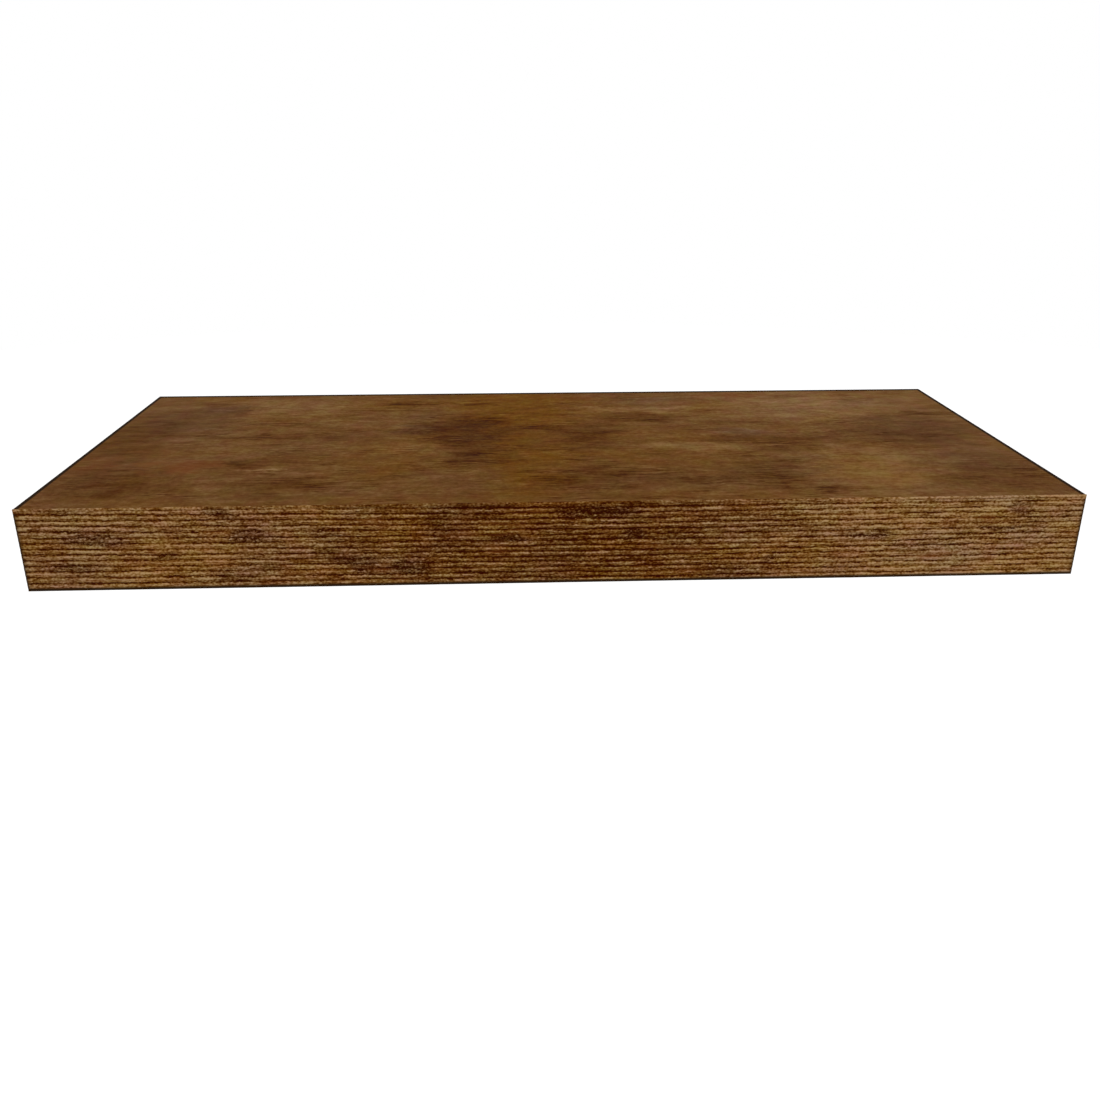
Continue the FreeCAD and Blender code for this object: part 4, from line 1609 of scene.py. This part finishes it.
@dataclass
class LockSet:
    """The brass inserts in the underside and the threaded screws in them."""

    thread_pitch: float = 1.0
    thread_depth: float = 0.55
    root_flat: float = 0.1
    flank: float = 0.72
    around: int = 48
    step: float = 0.125
    socket_width: float = 3.0
    socket_depth: float = 4.0
    socket_cone: float = 0.5
    socket_tip: float = 0.05
    socket_chamfer: float = 0.25
    socket_flare: float = 0.1
    lead_in: float = 0.6
    cup_radius: float = 1.5
    cup_depth: float = 0.6
    cup_tip: float = 0.1

    def build(self) -> None:
        """Dress the inserts, and cut a thread and a socket into each screw."""
        for side in SIDES:
            dress_node(f"{side}_lock_insert", TurnedBrass())
            self._cut_screw(f"{side}_lock_screw")

    def _cut_screw(self, node: str) -> None:
        """Make a cup-point socket screw with a real thread.

        Args:
            node: The screw's node, which is also the name of its body.
        """
        low, high = node_corners(node)
        centre, radius = (low + high) / 2, (high[0] - low[0]) / 2
        angle = np.linspace(0, FULL_TURN, self.around, endpoint=False)
        sixth = np.mod(angle, FULL_TURN / 6) - FULL_TURN / 12
        hexagon = self.socket_width / 2 / np.cos(sixth)
        floor = low[2] + self.socket_depth
        rings = [(hexagon * self.socket_tip, floor + self.socket_cone), (hexagon, floor),
                 (hexagon, low[2] + self.socket_chamfer),
                 (np.full_like(angle, hexagon.max() + self.socket_flare), low[2])]
        for z in np.arange(low[2], high[2] + self.step / 2, self.step):
            turn = np.mod((z - low[2]) / self.thread_pitch - angle / FULL_TURN, 1)
            tooth = np.clip((1 - np.abs(2 * turn - 1) - self.root_flat) / self.flank, 0, 1)
            r = radius - self.thread_depth * (1 - tooth)
            tail = radius - self.lead_in + (z - low[2])
            tip = self.cup_radius + (high[2] - z)
            rings.append((np.minimum(r, min(tail, tip)), z))
        rings.append((np.full_like(angle, self.cup_tip), high[2] - self.cup_depth))
        lofted = np.array([np.stack([centre[0] + r * np.cos(angle), centre[1] + r * np.sin(angle),
                                     np.full_like(angle, z)], -1) for r, z in rings])
        points, faces = skin_rings(lofted, looped=False)
        piece = add_piece(f"{node}.threaded", points, faces, BlackOxide())
        stand_for(piece, node, node)


@dataclass
class Studio:
    """A white floor far below, soft light and the camera."""

    floor_level: float = -1500.0
    floor_radius: float = 9000.0
    floor_sides: int = 96
    sky: float = 0.52
    sun: float = 1.9
    sun_softness: float = 40.0
    sun_elevation: float = 52.0
    sun_azimuth: float = -14.0
    sun_distance: float = 3000.0
    focal_pixels: float = 1022.2
    frame_pixels: float = 1100.0
    centre_pixels: tuple[float, float] = (551.12, 532.3)
    sensor: float = 36.0
    yaw: float = 2.28814
    pitch: float = 21.48329
    roll: float = 0.026
    eye: Triple = (-26.72, -804.54, 221.25)

    def build(self) -> None:
        """Set up the floor, the light and the camera."""
        self._lay_floor()
        self._light_sky()
        self._hang_sun()
        self._set_camera()
        bpy.context.scene.view_settings.view_transform = "Standard"

    def _lay_floor(self) -> None:
        """Lay a round floor with a smooth rim."""
        angle = np.linspace(0, FULL_TURN, self.floor_sides, endpoint=False)
        points = np.stack([self.floor_radius * np.cos(angle), self.floor_radius * np.sin(angle),
                           np.full_like(angle, self.floor_level)], -1)
        add_piece("studio_floor", points, [list(range(self.floor_sides))], StudioFloor())

    def _light_sky(self) -> None:
        """Give the world a soft even light that shows as plain white."""
        world = bpy.data.worlds.new("studio_sky")
        bpy.context.scene.world = world
        world.use_nodes = True
        sheet = NodeSheet(world.node_tree)
        light = sheet.node("ShaderNodeBackground", sockets={"Color": WHITE, "Strength": self.sky})
        shown = sheet.node("ShaderNodeBackground", sockets={"Color": WHITE, "Strength": 1.0})
        both = sheet.node("ShaderNodeMixShader", sockets={0: seen_by_eye(sheet), 1: light, 2: shown})
        sheet.node("ShaderNodeOutputWorld", sockets={"Surface": both})

    def _hang_sun(self) -> None:
        """Hang a wide soft lamp above and in front."""
        lamp = bpy.data.lights.new("key_lamp", "SUN")
        lamp.energy = self.sun
        lamp.angle = math.radians(self.sun_softness)
        holder = bpy.data.objects.new("key_lamp", lamp)
        up, turn = math.radians(self.sun_elevation), math.radians(self.sun_azimuth)
        towards = Vector((math.sin(turn) * math.cos(up), -math.cos(turn) * math.cos(up), math.sin(up)))
        holder.rotation_euler = towards.to_track_quat("Z", "Y").to_euler()
        holder.location = towards * self.sun_distance * MM
        bpy.context.scene.collection.objects.link(holder)

    def _set_camera(self) -> None:
        """Stand the camera where the picture was taken."""
        data = bpy.data.cameras.new("view")
        data.sensor_width = self.sensor
        data.lens = self.focal_pixels / self.frame_pixels * self.sensor
        half = self.frame_pixels / 2
        data.shift_x = (half - self.centre_pixels[0]) / self.frame_pixels
        data.shift_y = (self.centre_pixels[1] - half) / self.frame_pixels
        yaw, pitch, roll = (math.radians(a) for a in (self.yaw, self.pitch, self.roll))
        ahead = Vector((math.sin(yaw) * math.cos(pitch), math.cos(yaw) * math.cos(pitch), -math.sin(pitch)))
        level = Vector((math.cos(yaw), -math.sin(yaw), 0))
        down = ahead.cross(level)
        right = level * math.cos(roll) + down * math.sin(roll)
        below = down * math.cos(roll) - level * math.sin(roll)
        turned = Matrix((right, -below, -ahead)).transposed().to_4x4()
        camera = bpy.data.objects.new("view", data)
        camera.matrix_world = Matrix.Translation(Vector(self.eye) * MM) @ turned
        bpy.context.scene.collection.objects.link(camera)
        bpy.context.scene.camera = camera


def main() -> None:
    """Build the shelf's looks and the studio round it."""
    logging.basicConfig(level=logging.INFO, format="%(message)s")
    assemblies = (
        Studio(),
        Skins(),
        EdgeBand("front_edge_band", Facing.FRONT, 11, FRONT_PATCHES, FRONT_DRIFT, step_along=1.15),
        EdgeBand("left_edge_band", Facing.LEFT, 23),
        EdgeBand("right_edge_band", Facing.RIGHT, 37),
        BoardFrame(),
        WallBracket(),
        LockSet(),
    )
    for assembly in assemblies:
        assembly.build()


if __name__ == "__main__":
    main()
